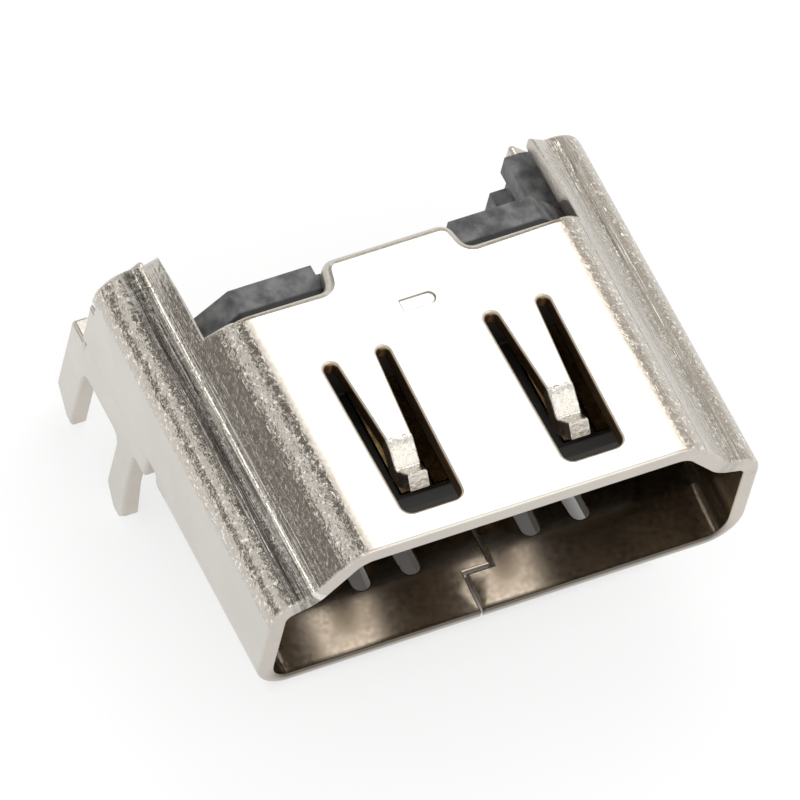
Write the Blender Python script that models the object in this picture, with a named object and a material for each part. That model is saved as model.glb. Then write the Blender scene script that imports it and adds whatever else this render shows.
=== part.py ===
"""Board-mount digital video receptacle with a folded shell, an insulator and 19 contacts.

Metres, +Z up. X runs across the mouth, Y from the mouth to the rear, Z up from the board.
The origin is on the flat underside of the shell's floor, behind the middle of the mouth, so the
floor lies on Z = 0 and the four board legs reach below it. Every length along Y below is
counted from the mouth's edge, and the finished model is moved to the origin at the end.
"""
import math

import bmesh
import bpy
from mathutils import Matrix, Vector

# Distance from the mouth's edge back to the origin
ORIGIN_Y = 0.0035

# Shell sheet and the mouth's inner outline
SHEET = 0.0005
MOUTH_WIDTH = 0.0140
MOUTH_HEIGHT = 0.00455
WALL_HEIGHT = 0.00292
SHOULDER_LEDGE = 0.0009
VALLEY_HALF_WIDTH = MOUTH_WIDTH / 2 - SHOULDER_LEDGE
VALLEY_HEIGHT = 0.0032
SLOPE_RUN = 0.00117
CROWN_HALF_WIDTH = VALLEY_HALF_WIDTH - SLOPE_RUN
FLOOR_BEND = 0.0006
SHOULDER_BEND = 0.00027
VALLEY_BEND = 0.0012
CROWN_BEND = 0.00012
BEND_STEPS = 7
CORNER_STEPS = 5

# Mouth rim: rolled outer edge and the lead-in inside it
RIM_ROLL = 0.0001
LEAD_IN = 0.0001
LEAD_IN_DEPTH = 0.00022

# Lengths along Y, from the mouth
WALL_LENGTH = 0.0115
ROOF_LENGTH = 0.0082
FLOOR_LENGTH = 0.0066
ROOF_TAB_LENGTH = 0.0009
ROOF_TAB_HALF_WIDTH = 0.00195
ROOF_TAB_TAPER = 0.0002
ROOF_TAB_RADIUS = 0.00045
ROOF_TAB_FILLET = 0.0003
ROOF_CUT_X = -0.00008
RAIL_LIP = 0.0004
RAIL_EDGE_HALF_WIDTH = VALLEY_HALF_WIDTH - RAIL_LIP
RAIL_SET_BACK = 0.00015
RAIL_SLANT = 0.0002

# Roof springs: U slots with the tongue rooted at the rear, each near the middle of its half roof
ROOF_SPRING_SHARE = 0.505
ROOF_SPRING_X = CROWN_HALF_WIDTH * ROOF_SPRING_SHARE
ROOF_SLOT_FRONT = 0.00076
ROOF_SLOT_REAR = 0.00593
ROOF_SLOT_HALF_WIDTH = 0.00109
ROOF_SLOT_LEG = 0.00051
ROOF_SLOT_CORNER = 0.00035
ROOF_CREASE_Y = 0.0031
ROOF_CREASE_HALF_WIDTH = 0.00032
ROOF_TIP_HALF_WIDTH = 0.00026
ROOF_SPRING_DROP = math.radians(31)
ROOF_SPRING_LIFT = math.radians(45)
ROOF_RAMP_LENGTH = 0.0005
ROOF_TIP_LENGTH = 0.0005

# Floor springs: U slots with the tongue rooted at the front
FLOOR_SPRING_X = 0.00261
FLOOR_SLOT_FRONT = 0.00168
FLOOR_SLOT_REAR = 0.0059
FLOOR_SLOT_HALF_WIDTH = 0.00102
FLOOR_SLOT_LEG = 0.0005
FLOOR_CREASE_Y = 0.0032
FLOOR_CREASE_HALF_WIDTH = 0.00042
FLOOR_TIP_HALF_WIDTH = 0.00032
FLOOR_SPRING_RISE = math.radians(20)
FLOOR_SPRING_FALL = math.radians(16)
FLOOR_RAMP_LENGTH = 0.0007
FLOOR_TIP_LENGTH = 0.0008

SPRING_INNER_BEND = 0.0001
SPRING_BEND_STEPS = 4
SKIN_MARGIN = SHEET / 10
CUT_TOLERANCE = 1e-8

# Share of a strip's width that the radius of its round end takes
ROUND_END = 0.499

# Seam in the floor, with its interlocking step
SEAM_GAP = 0.00008
SEAM_FRONT_X = -0.0005
SEAM_REAR_X = 0.00033
SEAM_STEP_Y = 0.00123

# Locating mark pressed into the roof
MARK_LENGTH = 0.00106
MARK_WIDTH = 0.0004
MARK_X = -0.00004
MARK_Y = 0.00698
MARK_DEPTH = 0.00006

# Side plates, board legs and the tabs that lock the insulator from behind
SLIT_TOP = 0.00112
SLIT_REAR_Y = 0.0072
PLATE_STEP_Z = 0.00033
PLATE_OVERLAP = 0.0008
LEG_BOTTOM = -0.0027
FRONT_LEG_Y = 0.00785
FRONT_LEG_WIDTH = 0.00095
REAR_LEG_BOTTOM = -0.00262
REAR_LEG_Y = 0.0110
REAR_LEG_WIDTH = 0.00114
FRONT_LEG_CHAMFER = (0.00058, 0.00054)
FRONT_LEG_LEAN = (0.00019, 0.00028)
FRONT_LEG_LEAN_Z = -0.0012
REAR_LEG_CHAMFER = (0.00082, 0.00062)
LEG_ROOT_RADIUS = 0.00033
LEG_SHELF_Z = 0.00105
LOCK_TAB_TOP = 0.0031
LOCK_TAB_SET_IN = 0.0010
LOCK_TAB_INNER_X = MOUTH_WIDTH / 2 - LOCK_TAB_SET_IN
LOCK_TAB_WIDTH = 0.00075
LOCK_HOOK_REACH = 0.00035
LOCK_HOOK_INNER_X = LOCK_TAB_INNER_X - LOCK_HOOK_REACH
LOCK_HOOK_BOTTOM = 0.0025
LOCK_HEAD_WIDTH = 0.00015
LOCK_TAB_BOTTOM = 0.00015
LOCK_FOLD_RADIUS = 0.00015
LOCK_FOLD_STEPS = 3
LATCH_NOTCH_Z = 0.0028
LATCH_NOTCH = 0.00024

# Insulator
FIT = 0.00005
BASE_FRONT = 0.0062
INSULATOR_REAR = 0.00936
BOARD_CLEARANCE = 0.00004
BLADE_FRONT = 0.0023
BLADE_SIDE_ROOM = 0.0014
BLADE_HALF_WIDTH = MOUTH_WIDTH / 2 - BLADE_SIDE_ROOM
BLADE_BOTTOM = 0.0020
BLADE_TOP = 0.0032
BLADE_NOSE = 0.00025
REAR_RELIEF_HALF_WIDTH = 0.0021
REAR_RELIEF = 0.00034
REAR_RELIEF_DEPTH = 0.0012
CROWN_CHAMFER_SET_IN = 0.00033
CROWN_CHAMFER_HALF_WIDTH = CROWN_HALF_WIDTH - CROWN_CHAMFER_SET_IN
ARM_REAR = 0.0115
ARM_FOOT_WIDTH = 0.00203
ARM_FOOT_X = MOUTH_WIDTH / 2 - ARM_FOOT_WIDTH
ARM_FOOT_TOP = 0.0020
ARM_NECK_WIDTH = 0.00157
ARM_NECK_X = MOUTH_WIDTH / 2 - ARM_NECK_WIDTH
ARM_NECK_TOP = 0.00268
ARM_HOOK_REACH = 0.0003
ARM_HOOK_X = ARM_NECK_X - ARM_HOOK_REACH
ARM_HOOK_TOP = 0.00368

# Contacts: two rows on the blade, one row of tails on the board
CONTACT_THICKNESS = 0.0002
CONTACT_WIDTH = 0.00042
TAIL_WIDTH = 0.00028
LOWER_CONTACTS = 10
UPPER_CONTACTS = 9
CONTACT_SIDE_ROOM = 0.0020
CONTACT_PITCH = (MOUTH_WIDTH - 2 * CONTACT_SIDE_ROOM) / LOWER_CONTACTS
CONTACT_FIT = 0.00003
CONTACT_PROUD = 0.00004
CONTACT_TIP_Y = 0.0027
TAIL_NECK_Y = 0.0088
LOWER_DROP_Y = 0.00965
UPPER_DROP_Y = 0.00988
TAIL_END_Y = 0.01145
TAIL_BEND = 0.00012
TAIL_BEND_STEPS = 3
BOARD_Z = 0.0

# Spacer that lines up the tails
SPACER_FRONT = 0.00941
SPACER_REAR = 0.0105
SPACER_BOTTOM = 0.0006
SPACER_TOP = 0.0012

OVERSHOOT = 0.001


def clear_scene():
    """Remove every object, so the model starts from nothing."""
    for item in list(bpy.data.objects):
        bpy.data.objects.remove(item, do_unlink=True)


def finish_material(name, colour, roughness, metallic):
    """Make one Principled material."""
    material = bpy.data.materials.new(name)
    material.use_nodes = True
    shader = material.node_tree.nodes["Principled BSDF"]
    shader.inputs["Base Color"].default_value = (*colour, 1.0)
    shader.inputs["Roughness"].default_value = roughness
    shader.inputs["Metallic"].default_value = metallic
    return material


def object_from_bmesh(name, bm):
    """Put a bmesh in a new object, with its faces pointing out."""
    bmesh.ops.recalc_face_normals(bm, faces=bm.faces)
    mesh = bpy.data.meshes.new(name)
    bm.to_mesh(mesh)
    bm.free()
    item = bpy.data.objects.new(name, mesh)
    bpy.context.scene.collection.objects.link(item)
    return item


def rounded(corners, steps=CORNER_STEPS):
    """Closed loop through corners (u, v, radius), each corner an arc of its radius."""
    loop = []
    for index, (u, v, radius) in enumerate(corners):
        here = Vector((u, v))
        before = Vector(corners[index - 1][:2]) - here
        after = Vector(corners[(index + 1) % len(corners)][:2]) - here
        if radius <= 0.0:
            loop.append(here)
            continue
        before.normalize()
        after.normalize()
        half_angle = before.angle(after) / 2
        reach = radius / math.tan(half_angle)
        centre = here + (before + after).normalized() * (radius / math.sin(half_angle))
        start = here + before * reach - centre
        end = here + after * reach - centre
        sweep = start.angle_signed(end)
        for step in range(steps + 1):
            turn = -sweep * step / steps
            loop.append(centre + Vector((
                start.x * math.cos(turn) - start.y * math.sin(turn),
                start.x * math.sin(turn) + start.y * math.cos(turn))))
    return loop


def prism(name, loop, axis, low, high):
    """Extrude a closed loop along one axis; the loop holds the two other axes in XYZ order."""
    bm = bmesh.new()
    rings = []
    for level in (low, high):
        if axis == "X":
            ring = [bm.verts.new((level, u, v)) for u, v in loop]
        elif axis == "Y":
            ring = [bm.verts.new((u, level, v)) for u, v in loop]
        else:
            ring = [bm.verts.new((u, v, level)) for u, v in loop]
        rings.append(ring)
    bm.faces.new(rings[0])
    bm.faces.new(rings[1])
    count = len(loop)
    for index in range(count):
        after = (index + 1) % count
        bm.faces.new((rings[0][index], rings[0][after], rings[1][after], rings[1][index]))
    return object_from_bmesh(name, bm)


def box(name, low, high):
    """A block between two corners."""
    loop = [(low[0], low[1]), (high[0], low[1]), (high[0], high[1]), (low[0], high[1])]
    return prism(name, loop, "Z", low[2], high[2])


def combine(item, tool, operation):
    """Cut, join or intersect with a tool body, which is used up."""
    modifier = item.modifiers.new("combine", "BOOLEAN")
    modifier.operation = operation
    modifier.solver = "EXACT"
    modifier.object = tool
    bpy.context.view_layer.update()
    evaluated = item.evaluated_get(bpy.context.evaluated_depsgraph_get())
    mesh = bpy.data.meshes.new_from_object(evaluated)
    item.modifiers.clear()
    item.data = mesh
    bpy.data.objects.remove(tool, do_unlink=True)
    return item


def mouth_corners():
    """Corners (x, z, radius) of the mouth's inner outline, with z from the board."""
    half = MOUTH_WIDTH / 2
    right = [
        (half, SHEET, FLOOR_BEND, 1),
        (half, SHEET + WALL_HEIGHT, SHOULDER_BEND, 1),
        (VALLEY_HALF_WIDTH, SHEET + VALLEY_HEIGHT, VALLEY_BEND, -1),
        (CROWN_HALF_WIDTH, SHEET + MOUTH_HEIGHT, CROWN_BEND, 1),
    ]
    left = [(-x, z, radius, turn) for x, z, radius, turn in reversed(right)]
    return right + left


def outline(grow):
    """The mouth's outline grown outwards; the same number of points for any growth."""
    base = mouth_corners()
    points = [Vector((x, z)) for x, z, _, _ in base]
    count = len(points)
    corners = []
    for index, (_, _, radius, turn) in enumerate(base):
        here = points[index]
        inward = (here - points[index - 1]).normalized()
        onward = (points[(index + 1) % count] - here).normalized()
        first = Vector((inward.y, -inward.x))
        second = Vector((onward.y, -onward.x))
        shift = (first + second) * (grow / (1.0 + first.dot(second)))
        corners.append((here.x + shift.x, here.y + shift.y, radius + turn * grow))
    return rounded(corners, BEND_STEPS)


def shell_tube():
    """The rolled tube: inner and outer skins, rear edge, and the rim with its lead-in."""
    roll = RIM_ROLL * (1.0 - math.sqrt(0.5))
    stations = [
        (WALL_LENGTH, SHEET),
        (RIM_ROLL, SHEET),
        (roll, SHEET - roll),
        (0.0, SHEET - RIM_ROLL),
        (0.0, LEAD_IN),
        (LEAD_IN_DEPTH / 3, LEAD_IN / 3),
        (LEAD_IN_DEPTH, 0.0),
        (WALL_LENGTH, 0.0),
    ]
    bm = bmesh.new()
    rings = [[bm.verts.new((x, y, z)) for x, z in outline(grow)] for y, grow in stations]
    count = len(rings[0])
    for index, ring in enumerate(rings):
        following = rings[(index + 1) % len(rings)]
        for corner in range(count):
            after = (corner + 1) % count
            bm.faces.new((ring[corner], ring[after], following[after], following[corner]))
    return object_from_bmesh("shell", bm)


def roof_cut():
    """What is stamped away behind the roof: its rear edge, the tab and the two rails' edges."""
    rear = WALL_LENGTH + OVERSHOOT
    set_back = ROOF_LENGTH + RAIL_SET_BACK
    tab_root = ROOF_TAB_HALF_WIDTH + ROOF_TAB_TAPER
    tab_rear = ROOF_LENGTH + ROOF_TAB_LENGTH
    right = [
        (ROOF_TAB_HALF_WIDTH, tab_rear, ROOF_TAB_RADIUS),
        (tab_root, ROOF_LENGTH, ROOF_TAB_FILLET),
        (CROWN_HALF_WIDTH, ROOF_LENGTH, ROOF_TAB_RADIUS),
        (RAIL_EDGE_HALF_WIDTH, set_back, 0.0),
        (RAIL_EDGE_HALF_WIDTH, rear, 0.0),
    ]
    left = [(-x, y, radius) for x, y, radius in reversed(right)]
    loop = [(ROOF_CUT_X + x, y) for x, y in rounded(right + left)]
    return prism("roof_cut", loop, "Z", SHEET + WALL_HEIGHT, MOUTH_HEIGHT + 2 * SHEET + OVERSHOOT)


def rail_end_cut(side):
    """What makes a rail's rear edge slant forwards, from the side wall to the rail's inner edge."""
    outer = MOUTH_WIDTH / 2 + SHEET
    inner = 2 * RAIL_EDGE_HALF_WIDTH - outer
    rear = WALL_LENGTH + OVERSHOOT
    loop = [(outer, WALL_LENGTH), (inner, WALL_LENGTH - 2 * RAIL_SLANT), (inner, rear), (outer, rear)]
    loop = [(side * x, y) for x, y in loop]
    return prism("rail_end_cut", loop, "Z", SHEET + WALL_HEIGHT, MOUTH_HEIGHT + 2 * SHEET)


def floor_cut():
    """Everything low behind the floor, with the rounded relief in front of each side plate."""
    low = -OVERSHOOT
    rear = WALL_LENGTH + OVERSHOOT
    relief = SHEET / 4
    profile = rounded([
        (FLOOR_LENGTH, low, 0.0),
        (FLOOR_LENGTH, SLIT_TOP / 2, 0.0),
        (SLIT_REAR_Y - SHEET, SLIT_TOP, relief),
        (rear, SLIT_TOP, 0.0),
        (rear, low, 0.0),
    ])
    reach = MOUTH_WIDTH / 2 + SHEET + OVERSHOOT
    return prism("floor_cut", profile, "X", -reach, reach)


def side_plate(side):
    """One flat side plate with its two board legs and the shelf at the rear."""
    front_rear = FRONT_LEG_Y + FRONT_LEG_WIDTH
    rear_rear = REAR_LEG_Y + REAR_LEG_WIDTH
    top = SLIT_TOP + PLATE_OVERLAP
    notch = LATCH_NOTCH / 2
    profile = rounded([
        (SLIT_REAR_Y, top, 0.0),
        (SLIT_REAR_Y, PLATE_STEP_Z, 0.0),
        (FRONT_LEG_Y, PLATE_STEP_Z, LEG_ROOT_RADIUS / 2),
        (FRONT_LEG_Y, FRONT_LEG_LEAN_Z, 0.0),
        (FRONT_LEG_Y - FRONT_LEG_LEAN[0], LEG_BOTTOM + FRONT_LEG_LEAN[1], 0.0),
        (FRONT_LEG_Y, LEG_BOTTOM, 0.0),
        (front_rear - FRONT_LEG_CHAMFER[0], LEG_BOTTOM, LEG_ROOT_RADIUS / 4),
        (front_rear, LEG_BOTTOM + FRONT_LEG_CHAMFER[1], LEG_ROOT_RADIUS),
        (front_rear, BOARD_Z, LEG_ROOT_RADIUS),
        (REAR_LEG_Y, BOARD_Z, LEG_ROOT_RADIUS),
        (REAR_LEG_Y, REAR_LEG_BOTTOM, 0.0),
        (rear_rear - REAR_LEG_CHAMFER[0], REAR_LEG_BOTTOM, LEG_ROOT_RADIUS / 4),
        (rear_rear, REAR_LEG_BOTTOM + REAR_LEG_CHAMFER[1], LEG_ROOT_RADIUS / 2),
        (rear_rear, LEG_SHELF_Z, LEG_ROOT_RADIUS / 4),
        (WALL_LENGTH - notch, LEG_SHELF_Z, 0.0),
        (WALL_LENGTH - LATCH_NOTCH, LEG_SHELF_Z - notch, 0.0),
        (WALL_LENGTH - LATCH_NOTCH, top, 0.0),
    ])
    inner = MOUTH_WIDTH / 2
    ends = sorted((side * inner, side * (inner + SHEET)))
    return prism("side_plate", profile, "X", *ends)


def lock_tab(side):
    """The tab folded in behind one arm of the insulator, with its hooked, chamfered head."""
    rear = REAR_LEG_Y + REAR_LEG_WIDTH
    outer = MOUTH_WIDTH / 2 + SHEET
    inner = LOCK_TAB_INNER_X
    shank = inner + LOCK_TAB_WIDTH
    head = LOCK_HOOK_INNER_X + LOCK_HEAD_WIDTH
    profile = rounded([
        (outer, LOCK_TAB_BOTTOM, 0.0),
        (outer, LEG_SHELF_Z, 0.0),
        (shank, LEG_SHELF_Z, LEG_ROOT_RADIUS),
        (shank, LOCK_TAB_TOP - (shank - head), LEG_ROOT_RADIUS / 2),
        (head, LOCK_TAB_TOP, LEG_ROOT_RADIUS / 4),
        (LOCK_HOOK_INNER_X, LOCK_TAB_TOP, LEG_ROOT_RADIUS / 4),
        (LOCK_HOOK_INNER_X, LOCK_HOOK_BOTTOM, LEG_ROOT_RADIUS / 4),
        (inner, LOCK_HOOK_BOTTOM, LEG_ROOT_RADIUS / 4),
        (inner, LOCK_TAB_BOTTOM, LEG_ROOT_RADIUS / 2),
    ])
    profile = [(side * x, z) for x, z in profile]
    return prism("lock_tab", profile, "Y", rear - SHEET, rear)


def fold_cut(side):
    """Rounds the outside of the lock tab's fold."""
    rear = REAR_LEG_Y + REAR_LEG_WIDTH
    outer = MOUTH_WIDTH / 2 + SHEET
    centre = Vector((outer - LOCK_FOLD_RADIUS, rear - LOCK_FOLD_RADIUS))
    arc = []
    for step in range(LOCK_FOLD_STEPS + 1):
        turn = math.pi / 2 * step / LOCK_FOLD_STEPS
        arc.append((centre.x + LOCK_FOLD_RADIUS * math.cos(turn),
                    centre.y + LOCK_FOLD_RADIUS * math.sin(turn)))
    beyond = OVERSHOOT / 2
    loop = arc + [(centre.x, rear + beyond), (outer + beyond, rear + beyond), (outer + beyond, centre.y)]
    loop = [(side * x, y) for x, y in loop]
    return prism("fold_cut", loop, "Z", LOCK_TAB_BOTTOM, LEG_SHELF_Z + beyond)


def latch_notch(side):
    """Small notch in a side wall's rear edge."""
    inner = MOUTH_WIDTH / 2
    ends = sorted((side * (inner - SHEET), side * (inner + 2 * SHEET)))
    return box("latch_notch", (ends[0], WALL_LENGTH - LATCH_NOTCH, LATCH_NOTCH_Z - LATCH_NOTCH / 2),
               (ends[1], WALL_LENGTH + LATCH_NOTCH, LATCH_NOTCH_Z + LATCH_NOTCH / 2))


class Spring:
    """A spring cut from the sheet by a U slot and bent about its crease."""

    def __init__(self, x, root, slot_half, leg, closed_end, crease, crease_half, tip_half, angles, lengths):
        self.x = x
        self.root = root
        self.slot_half = slot_half
        self.leg = leg
        self.closed_end = closed_end
        self.crease = crease
        self.crease_half = crease_half
        self.tip_half = tip_half
        self.first_turn, self.second_turn = angles
        self.ramp, self.tip = lengths
        self.way = 1.0 if crease > root else -1.0
        self.outer_arc = (SPRING_INNER_BEND + SHEET) * self.first_turn
        self.inner_arc = SPRING_INNER_BEND * (self.first_turn + self.second_turn)

    def free_length(self):
        """Length of the bent stretch, from the crease to the tip."""
        return self.outer_arc + self.ramp + self.inner_arc + self.tip

    def slot_loop(self, corner):
        """The U slot's outline in plan, as a loop of (x, y)."""
        half = self.slot_half
        root_half = half - self.leg
        leg_round = self.leg * ROUND_END
        tip = self.crease + self.way * self.free_length()
        loop = [
            (-half, self.root, leg_round),
            (-half, self.closed_end, corner),
            (half, self.closed_end, corner),
            (half, self.root, leg_round),
            (root_half, self.root, leg_round),
            (self.crease_half, self.crease, 0.0),
            (self.tip_half, tip, 0.0),
            (-self.tip_half, tip, 0.0),
            (-self.crease_half, self.crease, 0.0),
            (-root_half, self.root, leg_round),
        ]
        return rounded([(self.x + u, v, radius) for u, v, radius in loop])

    def stations(self):
        """Distances from the crease where the bent sheet needs an edge."""
        marks = [self.outer_arc * step / SPRING_BEND_STEPS for step in range(SPRING_BEND_STEPS + 1)]
        start = self.outer_arc + self.ramp
        marks += [start + self.inner_arc * step / SPRING_BEND_STEPS for step in range(SPRING_BEND_STEPS + 1)]
        return marks

    def place(self, distance):
        """Travel, height and slope of the outer skin at a distance from the crease."""
        turn = self.first_turn
        arc_radius = SPRING_INNER_BEND + SHEET
        bent = min(distance, self.outer_arc) / arc_radius
        travel = arc_radius * math.sin(bent)
        drop = arc_radius * (1 - math.cos(bent))
        if distance <= self.outer_arc:
            return travel, -drop, -bent
        straight = min(distance - self.outer_arc, self.ramp)
        travel += straight * math.cos(turn)
        drop += straight * math.sin(turn)
        rest = distance - self.outer_arc - self.ramp
        if rest <= 0.0:
            return travel, -drop, -turn
        back = min(rest, self.inner_arc) / SPRING_INNER_BEND
        slope = -turn + back
        travel += SPRING_INNER_BEND * (math.sin(slope) + math.sin(turn))
        drop -= SPRING_INNER_BEND * (math.cos(turn) - math.cos(slope))
        rest -= self.inner_arc
        if rest > 0.0:
            travel += rest * math.cos(slope)
            drop -= rest * math.sin(slope)
        return travel, -drop, slope

    def bend(self, item, skin_z, outward):
        """Bend the flat tongue: skin_z is the outer skin, outward +1 on the roof, -1 on the floor."""
        bm = bmesh.new()
        bm.from_mesh(item.data)
        low = min(skin_z, skin_z - outward * SHEET) - SKIN_MARGIN
        high = max(skin_z, skin_z - outward * SHEET) + SKIN_MARGIN

        def in_sheet(vert):
            return low < vert.co.z < high and abs(vert.co.x - self.x) < self.slot_half + SHEET

        for mark in self.stations():
            y = self.crease + self.way * mark
            faces = [face for face in bm.faces if any(in_sheet(vert) for vert in face.verts)
                     and all(low < vert.co.z < high for vert in face.verts)]
            edges = {edge for face in faces for edge in face.edges}
            verts = {vert for face in faces for vert in face.verts}
            bmesh.ops.bisect_plane(bm, geom=[*verts, *edges, *faces], dist=CUT_TOLERANCE,
                                   plane_co=(0.0, y, 0.0), plane_no=(0.0, 1.0, 0.0))
        for vert in bm.verts:
            distance = (vert.co.y - self.crease) * self.way
            inside = abs(vert.co.x - self.x) < self.crease_half + SKIN_MARGIN
            if not (inside and low < vert.co.z < high):
                continue
            if not CUT_TOLERANCE < distance < self.free_length() + SKIN_MARGIN:
                continue
            depth = (skin_z - vert.co.z) * outward
            travel, height, slope = self.place(distance)
            vert.co.y = self.crease + self.way * (travel + depth * math.sin(slope))
            vert.co.z = skin_z + outward * (height - depth * math.cos(slope))
        bm.to_mesh(item.data)
        bm.free()


def roof_spring(side):
    """One of the two springs in the roof."""
    return Spring(side * ROOF_SPRING_X, ROOF_SLOT_REAR, ROOF_SLOT_HALF_WIDTH, ROOF_SLOT_LEG,
                  ROOF_SLOT_FRONT, ROOF_CREASE_Y, ROOF_CREASE_HALF_WIDTH, ROOF_TIP_HALF_WIDTH,
                  (ROOF_SPRING_DROP, ROOF_SPRING_LIFT), (ROOF_RAMP_LENGTH, ROOF_TIP_LENGTH))


def floor_spring(side):
    """One of the two springs in the floor."""
    return Spring(side * FLOOR_SPRING_X, FLOOR_SLOT_FRONT, FLOOR_SLOT_HALF_WIDTH, FLOOR_SLOT_LEG,
                  FLOOR_SLOT_REAR, FLOOR_CREASE_Y, FLOOR_CREASE_HALF_WIDTH, FLOOR_TIP_HALF_WIDTH,
                  (FLOOR_SPRING_RISE, FLOOR_SPRING_FALL), (FLOOR_RAMP_LENGTH, FLOOR_TIP_LENGTH))


def seam_cut():
    """The stepped gap where the sheet's two edges meet in the floor."""
    half = SEAM_GAP / 2
    front = -OVERSHOOT
    rear = FLOOR_LENGTH + OVERSHOOT
    loop = [
        (SEAM_FRONT_X - half, front),
        (SEAM_FRONT_X + half, front),
        (SEAM_FRONT_X + half, SEAM_STEP_Y - half),
        (SEAM_REAR_X + half, SEAM_STEP_Y - half),
        (SEAM_REAR_X + half, rear),
        (SEAM_REAR_X - half, rear),
        (SEAM_REAR_X - half, SEAM_STEP_Y + half),
        (SEAM_FRONT_X - half, SEAM_STEP_Y + half),
    ]
    return prism("seam_cut", loop, "Z", -OVERSHOOT, SHEET + LEAD_IN + FIT)


def mark_cut():
    """The shallow locating mark: one square end and one round end."""
    half = MARK_WIDTH / 2
    start = MARK_X - MARK_LENGTH / 2
    end = MARK_X + MARK_LENGTH / 2
    loop = rounded([
        (start, MARK_Y - half, half / 4),
        (end, MARK_Y - half, MARK_WIDTH * ROUND_END),
        (end, MARK_Y + half, MARK_WIDTH * ROUND_END),
        (start, MARK_Y + half, half / 4),
    ])
    top = MOUTH_HEIGHT + 2 * SHEET
    return prism("mark_cut", loop, "Z", top - MARK_DEPTH, top + OVERSHOOT)


def make_shell(material):
    """The folded shell, stamped flat, rolled up and bent."""
    roof_top = MOUTH_HEIGHT + 2 * SHEET
    shell = shell_tube()
    combine(shell, floor_cut(), "DIFFERENCE")
    combine(shell, roof_cut(), "DIFFERENCE")
    for side in (-1, 1):
        combine(shell, side_plate(side), "UNION")
        combine(shell, lock_tab(side), "UNION")
        combine(shell, fold_cut(side), "DIFFERENCE")
        combine(shell, latch_notch(side), "DIFFERENCE")
        combine(shell, rail_end_cut(side), "DIFFERENCE")
    combine(shell, seam_cut(), "DIFFERENCE")
    combine(shell, mark_cut(), "DIFFERENCE")
    for side in (-1, 1):
        spring = roof_spring(side)
        slot = prism("roof_slot", spring.slot_loop(ROOF_SLOT_CORNER), "Z",
                     roof_top - SHEET - OVERSHOOT, roof_top + OVERSHOOT)
        combine(shell, slot, "DIFFERENCE")
        spring.bend(shell, roof_top, 1.0)
    for side in (-1, 1):
        spring = floor_spring(side)
        slot = prism("floor_slot", spring.slot_loop(spring.leg / 3), "Z", -OVERSHOOT, SHEET + OVERSHOOT)
        combine(shell, slot, "DIFFERENCE")
        spring.bend(shell, BOARD_Z, -1.0)
    shell.data.shade_smooth()
    shell.data.set_sharp_from_angle(angle=math.radians(30))
    shell.data.materials.clear()
    shell.data.materials.append(material)
    return shell


def lower_row():
    """X of each contact under the blade."""
    first = -CONTACT_PITCH * (LOWER_CONTACTS - 1) / 2
    return [first + CONTACT_PITCH * index for index in range(LOWER_CONTACTS)]


def upper_row():
    """X of each contact on top of the blade."""
    first = -CONTACT_PITCH * (UPPER_CONTACTS - 1) / 2
    return [first + CONTACT_PITCH * index for index in range(UPPER_CONTACTS)]


def contact_level(upper):
    """Middle height of a row's flat stretch; it stands a little proud of the blade."""
    sunk = CONTACT_THICKNESS / 2 - CONTACT_PROUD
    return BLADE_TOP - sunk if upper else BLADE_BOTTOM + sunk


def contact_channel(x, upper, front, rear):
    """The channel that one contact's flat stretch runs in, open at the blade's face."""
    half = CONTACT_WIDTH / 2 + CONTACT_FIT
    level = contact_level(upper)
    reach = CONTACT_THICKNESS / 2 + CONTACT_FIT
    return box("channel", (x - half, front, level - reach), (x + half, rear, level + reach))


def arm_profile(side):
    """Stepped profile (x, z) of one rear arm; only the right-hand arm has a hook on its neck."""
    wall = MOUTH_WIDTH / 2 - FIT
    shoulder = SHEET + WALL_HEIGHT - FIT * 2
    valley = SHEET + VALLEY_HEIGHT - FIT * 3
    hook = [(ARM_HOOK_X, ARM_HOOK_TOP), (ARM_HOOK_X, ARM_NECK_TOP + SHEET / 2), (ARM_NECK_X, ARM_NECK_TOP)]
    head = hook if side > 0 else [(ARM_NECK_X, ARM_HOOK_TOP)]
    right = [
        (wall, BOARD_CLEARANCE),
        (wall, shoulder),
        (VALLEY_HALF_WIDTH, valley),
        (VALLEY_HALF_WIDTH - SHEET, ARM_HOOK_TOP),
        *head,
        (ARM_NECK_X, ARM_FOOT_TOP),
        (ARM_FOOT_X, ARM_FOOT_TOP),
        (ARM_FOOT_X, BOARD_CLEARANCE),
    ]
    return [(side * x, z) for x, z in right]


def crown_chamfer(side):
    """What bevels one upper corner of the insulator's base block, at 45 degrees."""
    top = SHEET + MOUTH_HEIGHT
    reach = top - SHEET - VALLEY_HEIGHT + FIT
    half = CROWN_CHAMFER_HALF_WIDTH
    loop = [(half, top), (half + reach, top - reach), (half + reach, top + FIT), (half, top + FIT)]
    loop = [(side * x, z) for x, z in loop]
    return prism("crown_chamfer", loop, "Y", BASE_FRONT - OVERSHOOT, INSULATOR_REAR + OVERSHOOT)


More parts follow.
